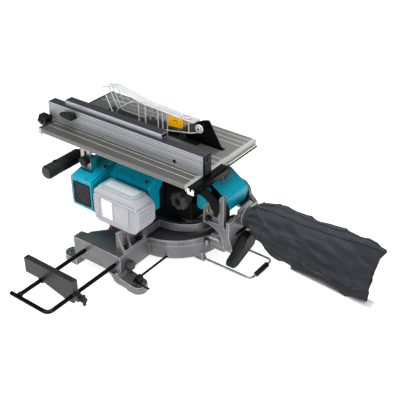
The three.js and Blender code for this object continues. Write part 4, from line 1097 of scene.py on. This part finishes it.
# ---------- base and turntable
def base_details():
    bolts = Shape()
    for x in (160, 208, -160, -208):
        bolts.turned("z", (x, 11), [(6.6, 85.2), (6.6, 86.6), (5.0, 86.6), (5.0, 89.8), (4.4, 90.6),
                                    (2.7, 90.6)], 24)
        bolts.turned("z", (x, 11), [(2.6, 90.65), (2.6, 88.0)], 6)
    bolts.make("fence_bolts", "base", "steel", "gloss_black")
    clip = Shape()
    clip.prism("x", [(54, 22), (70, 22), (70, 30), (66.5, 36.6), (57.5, 36.6), (54, 30)], 214, 232)
    clip.make("wrench_clip", "base", "black_plastic", bevel=1.2)
    mark = Shape()
    mark.prism("z", rounded_outline([(150, -84), (166, -84), (166, -76), (150, -76)], 3), 78.1, 79.0)
    mark.make("wing_red_mark", "base", None, "red_mark", bevel=0.3)
    pads = Shape()
    for side in (-1, 1):
        for y in (65, -147):
            pads.turned("z", (side * 226.5, y), [(9.6, 5), (9.6, 9.6), (8.6, 10.4), (4.6, 10.4), (4.6, 5)],
                        28, closed=True)
    pads.make("foot_washers", "base", "zinc_steel")


def mitre_scale():
    plate = Shape()
    outer = arc(0, 0, 169, 218, 322, 60)
    inner = arc(0, 0, 141, 322, 218, 60)
    plate.prism("z", outer + inner, 61.05, 61.9)
    plate.make("mitre_scale_plate", "base", "steel", "scale_plate")
    marks = Shape()
    for degree in range(-50, 51):
        turn = math.radians(270 + degree)
        long = 163 if degree % 5 else (158 if degree % 15 else 152)
        width = 0.28 if degree % 5 else 0.45
        ends = [Vector((math.cos(turn), math.sin(turn))) * r for r in (long, 168)]
        side = Vector((-math.sin(turn), math.cos(turn))) * width
        marks.prism("z", [tuple(ends[0] - side), tuple(ends[1] - side), tuple(ends[1] + side),
                          tuple(ends[0] + side)], 61.85, 62.0)
    marks.make("mitre_scale_marks", "base", None, "ink")


def rim_notches():
    """Short upright slots round the turntable's rim, two by two, drawn as black strips: painted shade inside
    them.
    """
    shape = Shape()
    for middle_turn in (25, 43, 61, 119, 137, 155, 205, 225, 315, 335):
        for shift in (-1.6, 1.6):
            turn = math.radians(middle_turn + shift)
            out = Vector((math.cos(turn), math.sin(turn)))
            side = Vector((-out.y, out.x)) * 0.55
            shape.prism("z", [tuple(out * 135.4 - side), tuple(out * 136.12 - side),
                              tuple(out * 136.12 + side), tuple(out * 135.4 + side)], 62.5, 74.5)
    shape.make("turntable_rim_slots", "turntable", None, "ink")


def turntable_details():
    shape = Shape()
    shape.prism("z", rounded_outline([(36, 138), (52, 138), (50, 168), (36, 168)], 2), 80.2, 86.4)
    shape.make("mitre_stop_bar", "turntable", "zinc_steel", bevel=0.8)
    bolt = Shape()
    bolt.turned("z", (48, 131), [(5.6, 56), (6.4, 57.2), (6.4, 70), (5.4, 71), (3.2, 71)], 24)
    bolt.turned("z", (48, 131), [(3.1, 71.1), (3.1, 68.4)], 6)
    bolt.make("mitre_stop_bolt", "turntable", "steel", bevel=0.3)


def arm_details():
    shape = Shape()
    shape.turned("x", (168, 171), [(4.6, 57.2), (4.6, 60.4), (3.8, 61.2), (0.01, 61.2)], 20)
    for y, z in ((182, 146), (183, 206)):
        shape.turned("x", (y, z), [(3.4, 61.6), (3.2, 62.1), (0.01, 62.15)], 18)
    shape.make("arm_rivets", "bevel_arm", "steel")
    scale = Shape()
    sector = arc(0, 78, 47.6, -5, 95, 30) + arc(0, 78, 39.984, 95, -5, 30)
    scale.prism("y", sector, 200.1, 200.9)
    scale.make("bevel_scale", "bevel_arm", None, "scale_plate")


PIECES = [holder_rods, rear_wire, torsion_spring, vent_slats, make_bag, guard_trim, guard_top,
          guard_pivot, guard_labels, star_knob, battery, housing_details, grip_rings, slot_shade_strips,
          rail_details, fence_details, base_details, mitre_scale, rim_notches, turntable_details,
          arm_details]
for build in PIECES:
    build()
